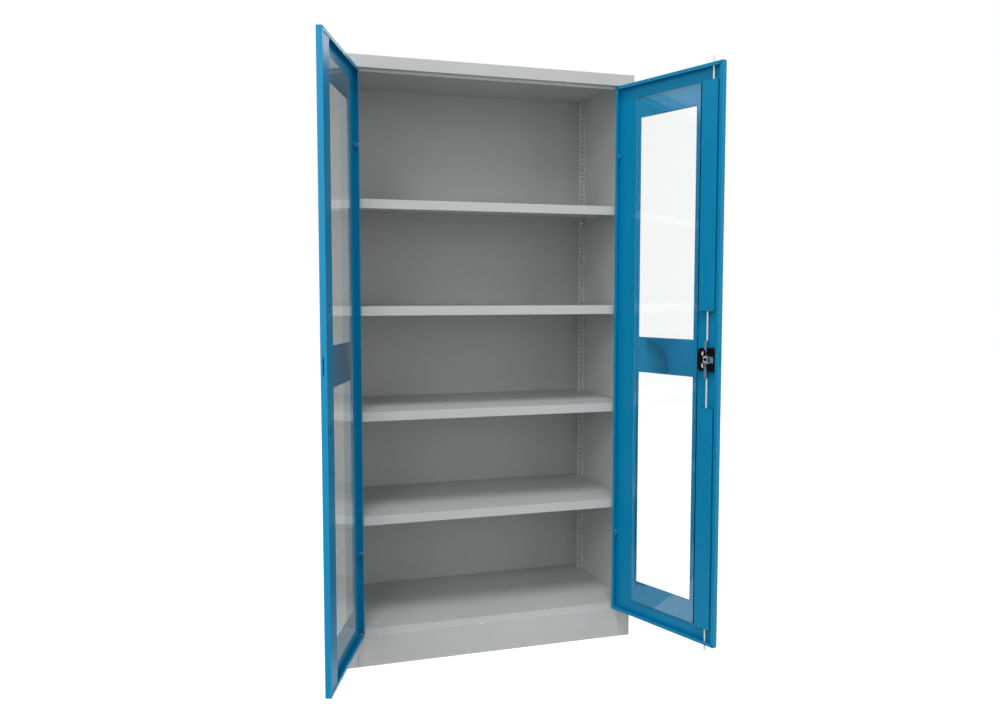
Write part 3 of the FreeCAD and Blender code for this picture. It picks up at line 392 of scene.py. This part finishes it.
def loft(mesh, rings):
    """Skin a row of closed rings, a single point closing an end, and cap open ends."""
    made = [[mesh.verts.new(point) for point in ring] for ring in rings]
    for one, two in zip(made, made[1:]):
        for step in range(max(len(one), len(two))):
            corners = [one[step % len(one)], one[(step + 1) % len(one)],
                       two[(step + 1) % len(two)], two[step % len(two)]]
            mesh.faces.new(list(dict.fromkeys(corners)))
    for ring in (made[0], made[-1]):
        if len(ring) > 2:
            mesh.faces.new(ring)


def full_turn(steps):
    """Angles evenly round a full turn."""
    return [2 * math.pi * step / steps for step in range(steps)]


def lathe(mesh, profile, matrix, steps=24):
    """Turn a profile of (radius, height) points about the matrix's Z axis into a closed solid."""
    loft(mesh, [
        [matrix @ Vector((radius * math.cos(a), radius * math.sin(a), height)) for a in full_turn(steps)]
        if radius else [matrix @ Vector((0, 0, height))]
        for radius, height in profile])


def prism(mesh, outline, low, high, matrix):
    """A flat outline raised along the matrix's Z axis."""
    loft(mesh, [[matrix @ Vector((x, y, height)) for x, y in outline] for height in (low, high)])


def rectangle(one, two):
    """Corners of the rectangle between two opposite ones."""
    return [one, (two[0], one[1]), two, (one[0], two[1])]


def arc(centre, radius, start, end, steps=8):
    """Points along an arc, angles in degrees."""
    angles = [math.radians(start + (end - start) * step / steps) for step in range(steps + 1)]
    return [(centre[0] + radius * math.cos(a), centre[1] + radius * math.sin(a)) for a in angles]


def pan_head_screw(mesh, matrix, radius, height, shank, length):
    """A screw seated at the matrix's origin: a pan head with a cross recess, and its shank below."""
    lathe(mesh, [
        (0, -length), (0.6 * shank, -length), (shank, 0.8 * shank - length), (shank, 0.0), (radius, 0.0),
        (radius, 0.3 * height), (0.94 * radius, 0.5 * height), (0, 0.5 * height)], matrix)
    gap = 0.12 * radius
    for quarter in range(4):
        turn = matrix @ Matrix.Rotation(quarter * math.pi / 2, 4, "Z")
        rings = []
        for share, level in ((0.94, 0.5), (0.82, 0.82), (0.6, 1.0)):
            edge = share * radius
            lean = math.degrees(math.asin(gap / edge))
            rings.append([turn @ Vector((x, y, level * height))
                          for x, y in [(gap, gap)] + arc((0, 0), edge, lean, 90 - lean, 5)])
        loft(mesh, rings)


def screws(node, body, outward):
    """Model a node's screws, whose heads look along one direction."""
    mesh = bmesh.new()
    for points in solids(node):
        reach = [point.dot(outward) for point in points]
        top = max(reach)
        ring = [point for point, value in zip(points, reach) if value > top - 0.1 * MM]
        crown = sum(ring, Vector()) / len(ring)
        radius = max((point - crown).length for point in ring)
        seat = facing(crown - outward * SCREW_HEAD, outward)
        pan_head_screw(mesh, seat, radius, SCREW_HEAD, SCREW_SHANK, top - SCREW_HEAD - min(reach))
    piece(node + "_pan_head", mesh, SLOT_OF[node], body, [node])


def facing(point, direction):
    """A frame at a point whose Z axis looks along a direction."""
    return Matrix.Translation(point) @ direction.to_track_quat("Z", "Y").to_matrix().to_4x4()


# Height of a pan head and radius of its shank
SCREW_HEAD = 2.2 * MM
SCREW_SHANK = 1.8 * MM

# Lines of the right door's lock: its spindle, its height, and its rods' tips beside the spindle's line
SPINDLE_U = points_middle([RIGHT.inverted() @ point for point in node_points("handle_plate")]).x
LOCK_Z = points_middle(node_points("handle_plate")).z
ROD_OFFSET = 9 * MM
ROD_U = SPINDLE_U + ROD_OFFSET

# Rounding of the lock's pressed plates
PLATE_EDGE = 0.4 * MM

# Round part of a lock rod: its radius, its start from the lock's middle, and the chamfer of its ends
ROD_RADIUS = 3 * MM
ROD_START = 57 * MM
ROD_CHAMFER = 1.5 * MM
# Sideways bend of a rod: how far past the middle of its run, and the number and pitch of its steps
BEND_SHIFT = 65 * MM
BEND_STEPS = 12
BEND_PITCH = 2 * MM

CARCASS_PAINT = [node for node in BODY_NODES["carcass"] if SLOT_OF[node] == "carcass_paint"]
DOOR_PAINT = [node for side in ("left", "right") for node in BODY_NODES[side + "_door"]
              if node.endswith(("_panel", "_channel"))]
HINGE_NODES = ["%s_%s_hinge_%s" % (side, end, part)
               for side in ("left", "right") for end in ("upper", "lower") for part in ("arm", "leaf")]


class CABINET_OT_carcass(bpy.types.Operator):
    """Coat the panels, shelves and rails and round their folds"""
    bl_idname = "cabinet.carcass"
    bl_label = "Carcass, Shelves and Rails"

    def execute(self, context):
        for node in CARCASS_PAINT:
            dress(node, finish().fold_radius)
        # The sill bush's white also paints the light seen through the sill's hole
        dress("sill_bush", finish().fitting_radius)
        return {"FINISHED"}


class CABINET_OT_doors(bpy.types.Operator):
    """Coat the two doors and their rod channels"""
    bl_idname = "cabinet.doors"
    bl_label = "Doors"

    def execute(self, context):
        for node in DOOR_PAINT:
            dress(node, finish().door_radius)
        return {"FINISHED"}


class CABINET_OT_panes(bpy.types.Operator):
    """Glaze both doors, and give the panes' ground edges a dark rim that paints the shade along them"""
    bl_idname = "cabinet.panes"
    bl_label = "Panes"

    def execute(self, context):
        for side in ("left", "right"):
            dress(side + "_pane", finish().fitting_radius)
            dress(side + "_glazing_tape", finish().fitting_radius)
            # A thin dark skin on each pane's rim is partly the ground edge and partly painted shade along the rim
            shut = door_matrix(side)
            low, high = local_box(side + "_pane", shut)
            skin, inset = 0.3 * MM, 0.5 * MM
            edge = bmesh.new()
            near, far = low.y + inset, high.y - inset
            for x in (low.x - skin, high.x):
                prism(edge, rectangle((x, near), (x + skin, far)), low.z, high.z, shut)
            for z in (low.z - skin, high.z):
                prism(edge, rectangle((low.x, near), (high.x, far)), z, z + skin, shut)
            # This dark rim paints the shade along the pane's edge
            piece(side + "_pane_ground_edge", edge, "glass", side + "_door", look="pane_edge_shade")
        return {"FINISHED"}


class CABINET_OT_hinges(bpy.types.Operator):
    """Coat the hinge arms and leaves and plate their pins"""
    bl_idname = "cabinet.hinges"
    bl_label = "Hinges"

    def execute(self, context):
        for node in HINGE_NODES + ["left_hinge_pins", "right_hinge_pins"]:
            dress(node, finish().fitting_radius)
        return {"FINISHED"}


def round_rod(node, way):
    """Model the round part of a lock rod, from its blade past a sideways bend to its tip."""
    low, high = local_box(node, RIGHT)
    tip = high.z if way > 0 else low.z
    depth = low.y + ROD_RADIUS
    bend = LOCK_Z + way * (abs(tip - LOCK_Z) / 2 + BEND_SHIFT)
    # Each stop of the path: place across the door, height and share of the radius
    path = [(SPINDLE_U, LOCK_Z + way * ROD_START, 0.7),
            (SPINDLE_U, LOCK_Z + way * (ROD_START + ROD_CHAMFER), 1.0)]
    for step in range(BEND_STEPS + 1):
        turn = math.pi * step / BEND_STEPS
        path.append((SPINDLE_U + ROD_OFFSET * (1 - math.cos(turn)) / 2,
                     bend + way * (step - BEND_STEPS / 2) * BEND_PITCH, 1.0))
    path += [(ROD_U, tip - way * ROD_CHAMFER, 1.0), (ROD_U, tip, 0.55)]
    middles = [Vector((u, depth, z)) for u, z, share in path]
    side = Vector((0, 1, 0))
    rings = []
    for index, (u, z, share) in enumerate(path):
        along = middles[min(index + 1, len(path) - 1)] - middles[max(index - 1, 0)]
        across = along.normalized().cross(side)
        rings.append([
            RIGHT @ (middles[index] + share * ROD_RADIUS * (across * math.cos(a) + side * math.sin(a)))
            for a in full_turn(20)])
    mesh = bmesh.new()
    loft(mesh, rings)
    piece(node + "_round", mesh, "rod_coat", node, [node])


def rod_blade(node, way):
    """Model a rod's flat end: a stem with a raised bead, and a yoke whose slot takes a pin of the cam."""
    # In millimetres, across from the spindle and away from the lock's middle
    stem, stem_end, shoulder, foot = 3.4, 60, 31, 22
    spine, throat, jaw_tip, jaw_corner = 3.9, 6.9, 20, 2
    jaw_edge, slot_near, slot_far = 3.4, 6.9, 12.9
    bead_end = 58
    # Depths behind the door's face, and each step of the bead as half width, back and front
    back, front = 12, 15
    bead = ((stem, 14.9, 17.2), (5, 17.1, 18.6))
    outline = [(-stem, stem_end), (-stem, shoulder), (-stem, foot), (spine, foot), (spine, jaw_edge),
               (jaw_tip, jaw_edge), (jaw_tip, slot_near), (throat, slot_near), (throat, slot_far),
               (jaw_tip, slot_far), (jaw_tip, shoulder - jaw_corner), (jaw_tip - jaw_corner, shoulder),
               (stem, shoulder), (stem, stem_end)]
    blade = bmesh.new()
    # The yoke reaches to the free side above the spindle, to the hinge side below it
    prism(blade, [(SPINDLE_U + way * u * MM, LOCK_Z + way * z * MM) for u, z in outline],
          back * MM, front * MM, RIGHT_PLATE)
    # The bead is narrow where it runs in the case's wall, and wide in the cover's slot
    for half, bead_back, bead_front in bead:
        prism(blade, rectangle((SPINDLE_U - half * MM, LOCK_Z + way * shoulder * MM),
                               (SPINDLE_U + half * MM, LOCK_Z + way * bead_end * MM)),
              bead_back * MM, bead_front * MM, RIGHT_PLATE)
    # The blade's blue is a painted reflection of the door
    piece(node + "_blade", blade, "rod_coat", node, radius=PLATE_EDGE, look="blade")


class CABINET_OT_rods(bpy.types.Operator):
    """Model the bent lock rods with their flat yokes and finish the left door's bolts"""
    bl_idname = "cabinet.rods"
    bl_label = "Rods and Bolts"

    def execute(self, context):
        for node in ("left_upper_bolt", "left_lower_bolt"):
            dress(node, finish().fitting_radius)
        for node, way in (("upper_rod", 1), ("lower_rod", -1)):
            round_rod(node, way)
            rod_blade(node, way)
        return {"FINISHED"}


def lock_cover(low, high):
    """Model the cover in two halves, with the blades' slot between them and a window in the middle."""
    left, right = low.x, high.x
    corner = 14 * MM
    half = (high.z - low.z) / 2
    top, bottom = LOCK_Z + half, LOCK_Z - half
    window_top, window_bottom = LOCK_Z + 12 * MM, LOCK_Z - 12 * MM
    window_left, window_right = left + 21 * MM, right - 5 * MM
    slot_left, slot_right = SPINDLE_U - 6 * MM, SPINDLE_U + 6 * MM
    cover = bmesh.new()
    prism(cover, [(slot_left, top)]
          + arc((left + corner, top - corner), corner, 90, 180)
          + arc((left + corner, bottom + corner), corner, 180, 270)
          + [(slot_left, bottom), (slot_left, window_bottom), (window_left, window_bottom),
             (window_left, window_top), (slot_left, window_top)],
          low.y, high.y, RIGHT_PLATE)
    prism(cover, [(slot_right, top), (right, top), (right, bottom), (slot_right, bottom),
                  (slot_right, window_bottom), (window_right, window_bottom),
                  (window_right, window_top), (slot_right, window_top)],
          low.y, high.y, RIGHT_PLATE)
    piece("lock_cover_slotted", cover, "black_plastic", "right_door", ["lock_cover"], 0.6 * MM)


def lock_guide(left, face):
    """Model the zinc guide: a plate round the spindle's hole, two crescents, two ears, and a black disc that
    paints the shade in the spindle's hole.
    """
    def at(across, up):
        """A point of the door from millimetres across the cover and up from the lock's middle."""
        return left + across * MM, LOCK_Z + up * MM

    plate_left, plate_right, plate_half = 20.5, 36, 9.6
    hole_across, hole_radius = 27.8, 6.2
    crescent = ((15, 13), (17, 25), (23, 25), (21.5, 13))
    bar_end, bar_edge = 58, 7.8
    uprights = ((34.7, 39.7), (50.6, 60.5))
    # Depths behind the door's face, and of the crescents in and out of the cover's face
    back, plate_face, bar_face, upright_face = 16.7 * MM, 17.2 * MM, 17.4 * MM, 18.6 * MM
    sunk, proud = 0.6 * MM, 0.5 * MM
    guide = bmesh.new()
    ears = bmesh.new()
    hole = at(hole_across, 0)
    for way in (1, -1):
        rim = arc(hole, hole_radius * MM, 180, 180 - 180 * way)
        prism(guide, [at(plate_left, 0)] + rim + [
            at(plate_right, 0), at(plate_right, way * plate_half), at(plate_left, way * plate_half)],
              back, plate_face, RIGHT_PLATE)
        prism(guide, [at(across, way * up) for across, up in crescent],
              face - sunk, face + proud, RIGHT_PLATE)
        prism(ears, rectangle(at(plate_right, way * bar_edge), at(bar_end, way * plate_half)),
              back, bar_face, RIGHT_PLATE)
    for near, far in uprights:
        prism(ears, rectangle(at(near, -plate_half), at(far, plate_half)),
              back, upright_face, RIGHT_PLATE)
    piece("lock_guide", guide, "rod_coat", "right_door", radius=PLATE_EDGE)
    # The ears take the blade's colour, a painted reflection of the blue door
    piece("lock_guide_ears", ears, "rod_coat", "right_door", radius=PLATE_EDGE, look="blade")
    # A black disc under the guide paints the shade in the spindle's hole
    cap = bmesh.new()
    # Radius and depth in millimetres
    profile = ((0, 15.4), (7, 15.4), (7, 16.7), (5, 16.7), (4.4, 16.0), (0, 16.0))
    lathe(cap, [(radius * MM, depth * MM) for radius, depth in profile],
          RIGHT_PLATE @ Matrix.Translation((hole[0], hole[1], 0.0)))
    piece("lock_spindle_cap", cap, "black_plastic", "right_door")


class CABINET_OT_lock(bpy.types.Operator):
    """Finish the lock case and cam, and model its slotted cover, zinc guide and tongue"""
    bl_idname = "cabinet.lock"
    bl_label = "Lock"

    def execute(self, context):
        for node in ("lock_case", "lock_cam"):
            dress(node, finish().fitting_radius)
        low, high = local_box("lock_cover", RIGHT)
        lock_cover(low, high)
        lock_guide(low.x, high.y)

        low, high = local_box("latch_tongue", RIGHT)
        tongue = bmesh.new()
        corner = 5 * MM
        prism(tongue, [(low.x, low.z), (high.x - corner, low.z)]
              + arc((high.x - corner, low.z + corner), corner, 270, 360)
              + arc((high.x - corner, high.z - corner), corner, 0, 90)
              + [(low.x, high.z)], low.y, high.y, RIGHT_PLATE)
        piece("latch_tongue_rounded", tongue, "zinc", "tongue", ["latch_tongue"], 0.5 * MM)
        return {"FINISHED"}


class CABINET_OT_screws(bpy.types.Operator):
    """Model the pan-head screws of the top, hinges and lock"""
    bl_idname = "cabinet.screws"
    bl_label = "Screws"

    def execute(self, context):
        screws("lock_screws", "right_door", RIGHT.to_3x3() @ Vector((0, 1, 0)))
        for side in ("left", "right"):
            pin = Vector(JOINTS[side + "_door_swing"]["pos_m"])
            panel = points_middle(node_points(side + "_door_panel"))
            toward = door_matrix(side).to_3x3() @ Vector((-1.0 if pin.x > 0 else 1.0, 0, 0))
            if toward.dot(panel - pin) < 0:
                raise ValueError("the hinge screws of the %s door look the wrong way" % side)
            screws(side + "_leaf_screws", side + "_door", toward)
        mesh = bmesh.new()
        for points in solids("top_screws"):
            middle = points_middle(points)
            inward = Vector((-1.0 if middle.x > 0 else 1.0, 0, 0))
            reach = [point.dot(inward) for point in points]
            seat_level = max(reach) - SCREW_HEAD
            seat = middle + inward * (seat_level - middle.dot(inward))
            length = seat_level - min(reach)
            radius = max(abs(point.z - middle.z) for point in points)
            pan_head_screw(mesh, facing(seat, inward), radius, SCREW_HEAD, SCREW_SHANK, length)
        piece("top_screws_pan_head", mesh, "zinc", "carcass", ["top_screws"])
        return {"FINISHED"}


class CABINET_OT_clips(bpy.types.Operator):
    """Model the pressed shelf clips, bent at the ledge, ribbed and hooked behind the rail"""
    bl_idname = "cabinet.clips"
    bl_label = "Shelf Clips"

    def execute(self, context):
        hook, sheet, bend = 3.8 * MM, 2 * MM, 3 * MM
        rib_half, rib_short, claw_half = 1.2 * MM, 2 * MM, 2.7 * MM
        # In millimetres: the curled foot, up from the clip's lowest edge, and the hook behind the rail
        foot = ((2, 2.5), (4, 1.2), (2.8, 0), (0.6, 1.8))
        claw = ((0.2, -7.2), (0.2, 1.2), (-3.8, 1.2), (-3.8, -10.5), (-1.8, -10.5), (-1.8, -7.2))
        for number in range(1, 5):
            node = "shelf_clips_%d" % number
            mesh = bmesh.new()
            for points in solids(node):
                low, high = points_box(points)
                way = 1.0 if low.y > 0 else -1.0
                face = high.y - hook if way > 0 else low.y + hook
                reach = high.y - low.y - hook
                drop = high.z - low.z
                half = (high.x - low.x) / 2
                # Drawing plane of a clip: out from the rail, up, then across
                plane = Matrix(((0, 0, 1, (low.x + high.x) / 2), (-way, 0, 0, face), (0, 1, 0, high.z),
                                (0, 0, 0, 1)))
                prism(mesh, arc((bend, -bend), bend, 180, 90, 5) + [(reach, 0), (reach, -sheet)]
                      + arc((bend, -bend), bend - sheet, 90, 180, 4)
                      + [(out * MM, up * MM - drop) for out, up in foot], -half, half, plane)
                rib = reach - rib_short
                prism(mesh, [(sheet, -sheet), (rib, -sheet)]
                      + arc((rib, -reach), rib - sheet, 90, 180, 6)[1:]
                      + [(sheet, -reach)], -rib_half, rib_half, plane)
                prism(mesh, [(out * MM, up * MM) for out, up in claw], -claw_half, claw_half, plane)
            piece(node + "_pressed", mesh, "zinc", "carcass", [node], 0.3 * MM)
        return {"FINISHED"}


def handle_plate(axis):
    """Model the turned plate behind the handle, with a raised rim."""
    low, high = local_box("handle_plate", RIGHT)
    rim = (high.x - low.x) / 2
    bore, bevel, edge = 4.5 * MM, 1.6 * MM, 1.4 * MM
    lip, lip_slope, sink = 16 * MM, 0.6 * MM, 0.5 * MM
    plate = bmesh.new()
    lathe(plate, [(bore, high.y), (rim, high.y), (rim, high.y - edge), (rim - bevel, low.y), (lip, low.y),
                  (lip - lip_slope, low.y + sink), (bore, low.y + sink), (bore, high.y)], axis, 48)
    piece("handle_plate_turned", plate, "black_plastic", "right_door", ["handle_plate"])


def turn_handle(axis):
    """Model the handle: a turned boss on its spindle, and a tapered grip with a short tail."""
    low, high = local_box("turn_handle", RIGHT)
    front, inner = low.y, high.y
    spindle = 4 * MM
    # Radius and depth behind the handle's outer face, in millimetres
    boss = ((6.05, 8), (6.05, 0.6), (6.8, 0), (12.2, 0), (13.6, 1.6), (14, 4), (13, 16), (13, 25),
            (14, 27.8), (13.2, 29), (4, 29))
    handle = bmesh.new()
    lathe(handle, [(radius * MM, front + depth * MM) for radius, depth in boss]
          + [(spindle, inner), (0, inner)], axis, 40)
    # Sections of the grip in millimetres: place from the spindle, half width, nearest and farthest depth
    sections = ((20, 5, 3.6, 8.4), (19, 7.6, 1.8, 10.2), (15, 9, 0.8, 11.6), (0, 9, 0.4, 12),
                (-25, 8.2, 0.6, 11.4), (-60, 7.4, 1.2, 10.4), (-85, 8.2, 1.4, 10.4), (-93, 6.4, 2.4, 9.2),
                (-95, 3.6, 4, 7.6))
    # A power below 1 squares up the round section
    squareness = 0.6
    rings = []
    for reach, width, near, far in sections:
        middle, tall = (near + far) / 2, (far - near) / 2
        rings.append([axis @ Vector((
            width * MM * math.copysign(abs(math.cos(a)) ** squareness, math.cos(a)), reach * MM,
            front + (middle + tall * math.copysign(abs(math.sin(a)) ** squareness, math.sin(a))) * MM))
            for a in full_turn(24)])
    # Grip and tail are two solids that meet in the section at the spindle
    meeting = [section[0] for section in sections].index(0)
    loft(handle, rings[meeting:])
    loft(handle, rings[:meeting + 1])
    piece("turn_handle_moulded", handle, "black_plastic", "handle", ["turn_handle"])


def key_plug(axis):
    """Model the key plug, its outer end parted by the key's slit."""
    low, high = local_box("key_plug", RIGHT)
    radius = (high.x - low.x) / 2
    slit_half, slit_depth = 0.7 * MM, 1.6 * MM
    floor = low.y + slit_depth
    plug = bmesh.new()
    lathe(plug, [(0, high.y), (radius, high.y), (radius, floor), (0, floor)], axis)
    lean = math.degrees(math.asin(slit_half / radius))
    for start in (lean, 180 + lean):
        prism(plug, arc((0, 0), radius, start, start + 180 - 2 * lean, 12), low.y, floor, axis)
    piece("key_plug_slotted", plug, "key_metal", "key", ["key_plug"], 0.2 * MM)


class CABINET_OT_handle(bpy.types.Operator):
    """Model the turn handle with its tapered grip, the plate and the slotted key plug"""
    bl_idname = "cabinet.handle"
    bl_label = "Handle"

    def execute(self, context):
        axis = RIGHT_PLATE @ Matrix.Translation((SPINDLE_U, LOCK_Z, 0.0))
        handle_plate(axis)
        turn_handle(axis)
        key_plug(axis)
        return {"FINISHED"}


# Half the floor's side, and the glow that lifts it to white where it is seen straight
FLOOR_HALF = 12.0
FLOOR_GLOW = 0.91

# Each lamp's place and the width of its disc, in metres, and the point in the cabinet that all look at
LAMPS = {
    "key": ((-1.9, -6.3, 11.6), 4.2),
    "front": ((-2.9, -5.4, 4.8), 1.4),
    "side": ((-3.2, -3.6, 2.0), 3.0),
    "fill": ((2.6, -4.2, 2.0), 3.0),
    "rear": ((2.0, 5.0, 3.0), 3.0),
}
LAMP_AIM = Vector((0.0, -0.1, 0.9))


class CABINET_OT_stage(bpy.types.Operator):
    """Set up the floor, the white world, the lamps and the camera"""
    bl_idname = "cabinet.stage"
    bl_label = "Stage"

    def execute(self, context):
        scene = context.scene
        stage = scene.cabinet_stage
        scene.view_settings.view_transform = "Standard"

        floor_mesh = bmesh.new()
        bmesh.ops.create_grid(floor_mesh, size=FLOOR_HALF)
        data = bpy.data.meshes.new("studio_floor")
        floor_mesh.to_mesh(data)
        floor_mesh.free()
        floor = bpy.data.objects.new("studio_floor", data)
        scene.collection.objects.link(floor)
        floor.data.materials.append(studio_floor(colours().floor))

        world = bpy.data.worlds.new("studio_white")
        scene.world = world
        world.use_nodes = True
        tree = world.node_tree
        tree.nodes.clear()
        seen = straight_rays(tree)
        strength = add(tree, "ShaderNodeMapRange", {"To Min": stage.sky, "To Max": 1.0}, {"Value": seen})
        sky = add(tree, "ShaderNodeBackground", {"Color": (1.0, 1.0, 1.0, 1.0)},
                  {"Strength": strength.outputs["Result"]})
        add(tree, "ShaderNodeOutputWorld", links={"Surface": sky.outputs["Background"]})

        for name, (place, size) in LAMPS.items():
            lamp = bpy.data.lights.new(name + "_lamp", "AREA")
            lamp.shape = "DISK"
            lamp.size = size
            lamp.energy = getattr(stage, name + "_power")
            obj = bpy.data.objects.new(name + "_lamp", lamp)
            obj.matrix_world = facing(Vector(place), Vector(place) - LAMP_AIM)
            # The disc of a lamp behind the panes isn't seen through them
            obj.visible_transmission = False
            scene.collection.objects.link(obj)

        lens = bpy.data.cameras.new("studio_camera")
        lens.sensor_width = 36.0
        lens.sensor_fit = "HORIZONTAL"
        lens.lens = stage.camera_lens
        camera = bpy.data.objects.new("studio_camera", lens)
        camera.location = stage.camera_place
        camera.rotation_euler = (math.pi / 2 + stage.camera_pitch, 0.0, stage.camera_yaw)
        scene.collection.objects.link(camera)
        scene.camera = camera
        return {"FINISHED"}


def straight_rays(tree):
    """Give 1 to rays from the camera, off gloss or through glass, and 0 to those that light a surface."""
    path = add(tree, "ShaderNodeLightPath").outputs
    seen = path["Is Camera Ray"]
    for name, operation in (("Is Glossy Ray", "MAXIMUM"), ("Is Transmission Ray", "MAXIMUM"),
                            ("Diffuse Depth", "SUBTRACT")):
        step = add(tree, "ShaderNodeMath", {"operation": operation, "use_clamp": True})
        tree.links.new(seen, step.inputs[0])
        tree.links.new(path[name], step.inputs[1])
        seen = step.outputs["Value"]
    return seen


def studio_floor(colour):
    """Matt studio paper: seen straight it is near white and keeps a soft shadow."""
    material, tree = new_material("studio_paper_white")
    seen = straight_rays(tree)
    lift = add(tree, "ShaderNodeMapRange", {"To Min": 0.0, "To Max": FLOOR_GLOW}, {"Value": seen})
    paper = add(tree, "ShaderNodeBsdfDiffuse", {"Color": linear(colour)})
    glow = add(tree, "ShaderNodeEmission", {"Color": (1.0, 1.0, 1.0, 1.0)},
               {"Strength": lift.outputs["Result"]})
    both = add(tree, "ShaderNodeAddShader")
    tree.links.new(paper.outputs["BSDF"], both.inputs[0])
    tree.links.new(glow.outputs["Emission"], both.inputs[1])
    add(tree, "ShaderNodeOutputMaterial", links={"Surface": both.outputs["Shader"]})
    return material


OPERATORS = (CABINET_OT_carcass, CABINET_OT_doors, CABINET_OT_panes, CABINET_OT_hinges, CABINET_OT_rods,
             CABINET_OT_lock, CABINET_OT_screws, CABINET_OT_clips, CABINET_OT_handle, CABINET_OT_stage)


class CABINET_PT_sidebar(bpy.types.Panel):
    """List the cabinet's settings and operators"""
    bl_idname = "CABINET_PT_sidebar"
    bl_label = "Cabinet"
    bl_space_type = "VIEW_3D"
    bl_region_type = "UI"
    bl_category = "Cabinet"

    def draw(self, context):
        for group in ("cabinet_colours", "cabinet_finish", "cabinet_stage"):
            settings = getattr(context.scene, group)
            box = self.layout.box()
            for name in settings.__annotations__:
                box.prop(settings, name)
        for operator in OPERATORS:
            self.layout.operator(operator.bl_idname)


CLASSES = (CabinetColours, CabinetFinish, CabinetStage) + OPERATORS + (CABINET_PT_sidebar,)


def register():
    """Register the classes and hang the settings on the scene."""
    for item in CLASSES:
        bpy.utils.register_class(item)
    bpy.types.Scene.cabinet_colours = bpy.props.PointerProperty(type=CabinetColours)
    bpy.types.Scene.cabinet_finish = bpy.props.PointerProperty(type=CabinetFinish)
    bpy.types.Scene.cabinet_stage = bpy.props.PointerProperty(type=CabinetStage)


def unregister():
    """Take the settings off the scene and unregister the classes."""
    del bpy.types.Scene.cabinet_stage
    del bpy.types.Scene.cabinet_finish
    del bpy.types.Scene.cabinet_colours
    for item in reversed(CLASSES):
        bpy.utils.unregister_class(item)


def main():
    """Register the add-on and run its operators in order."""
    register()
    for operator in OPERATORS:
        getattr(bpy.ops.cabinet, operator.bl_idname.split(".")[1])()


if __name__ == "__main__":
    main()
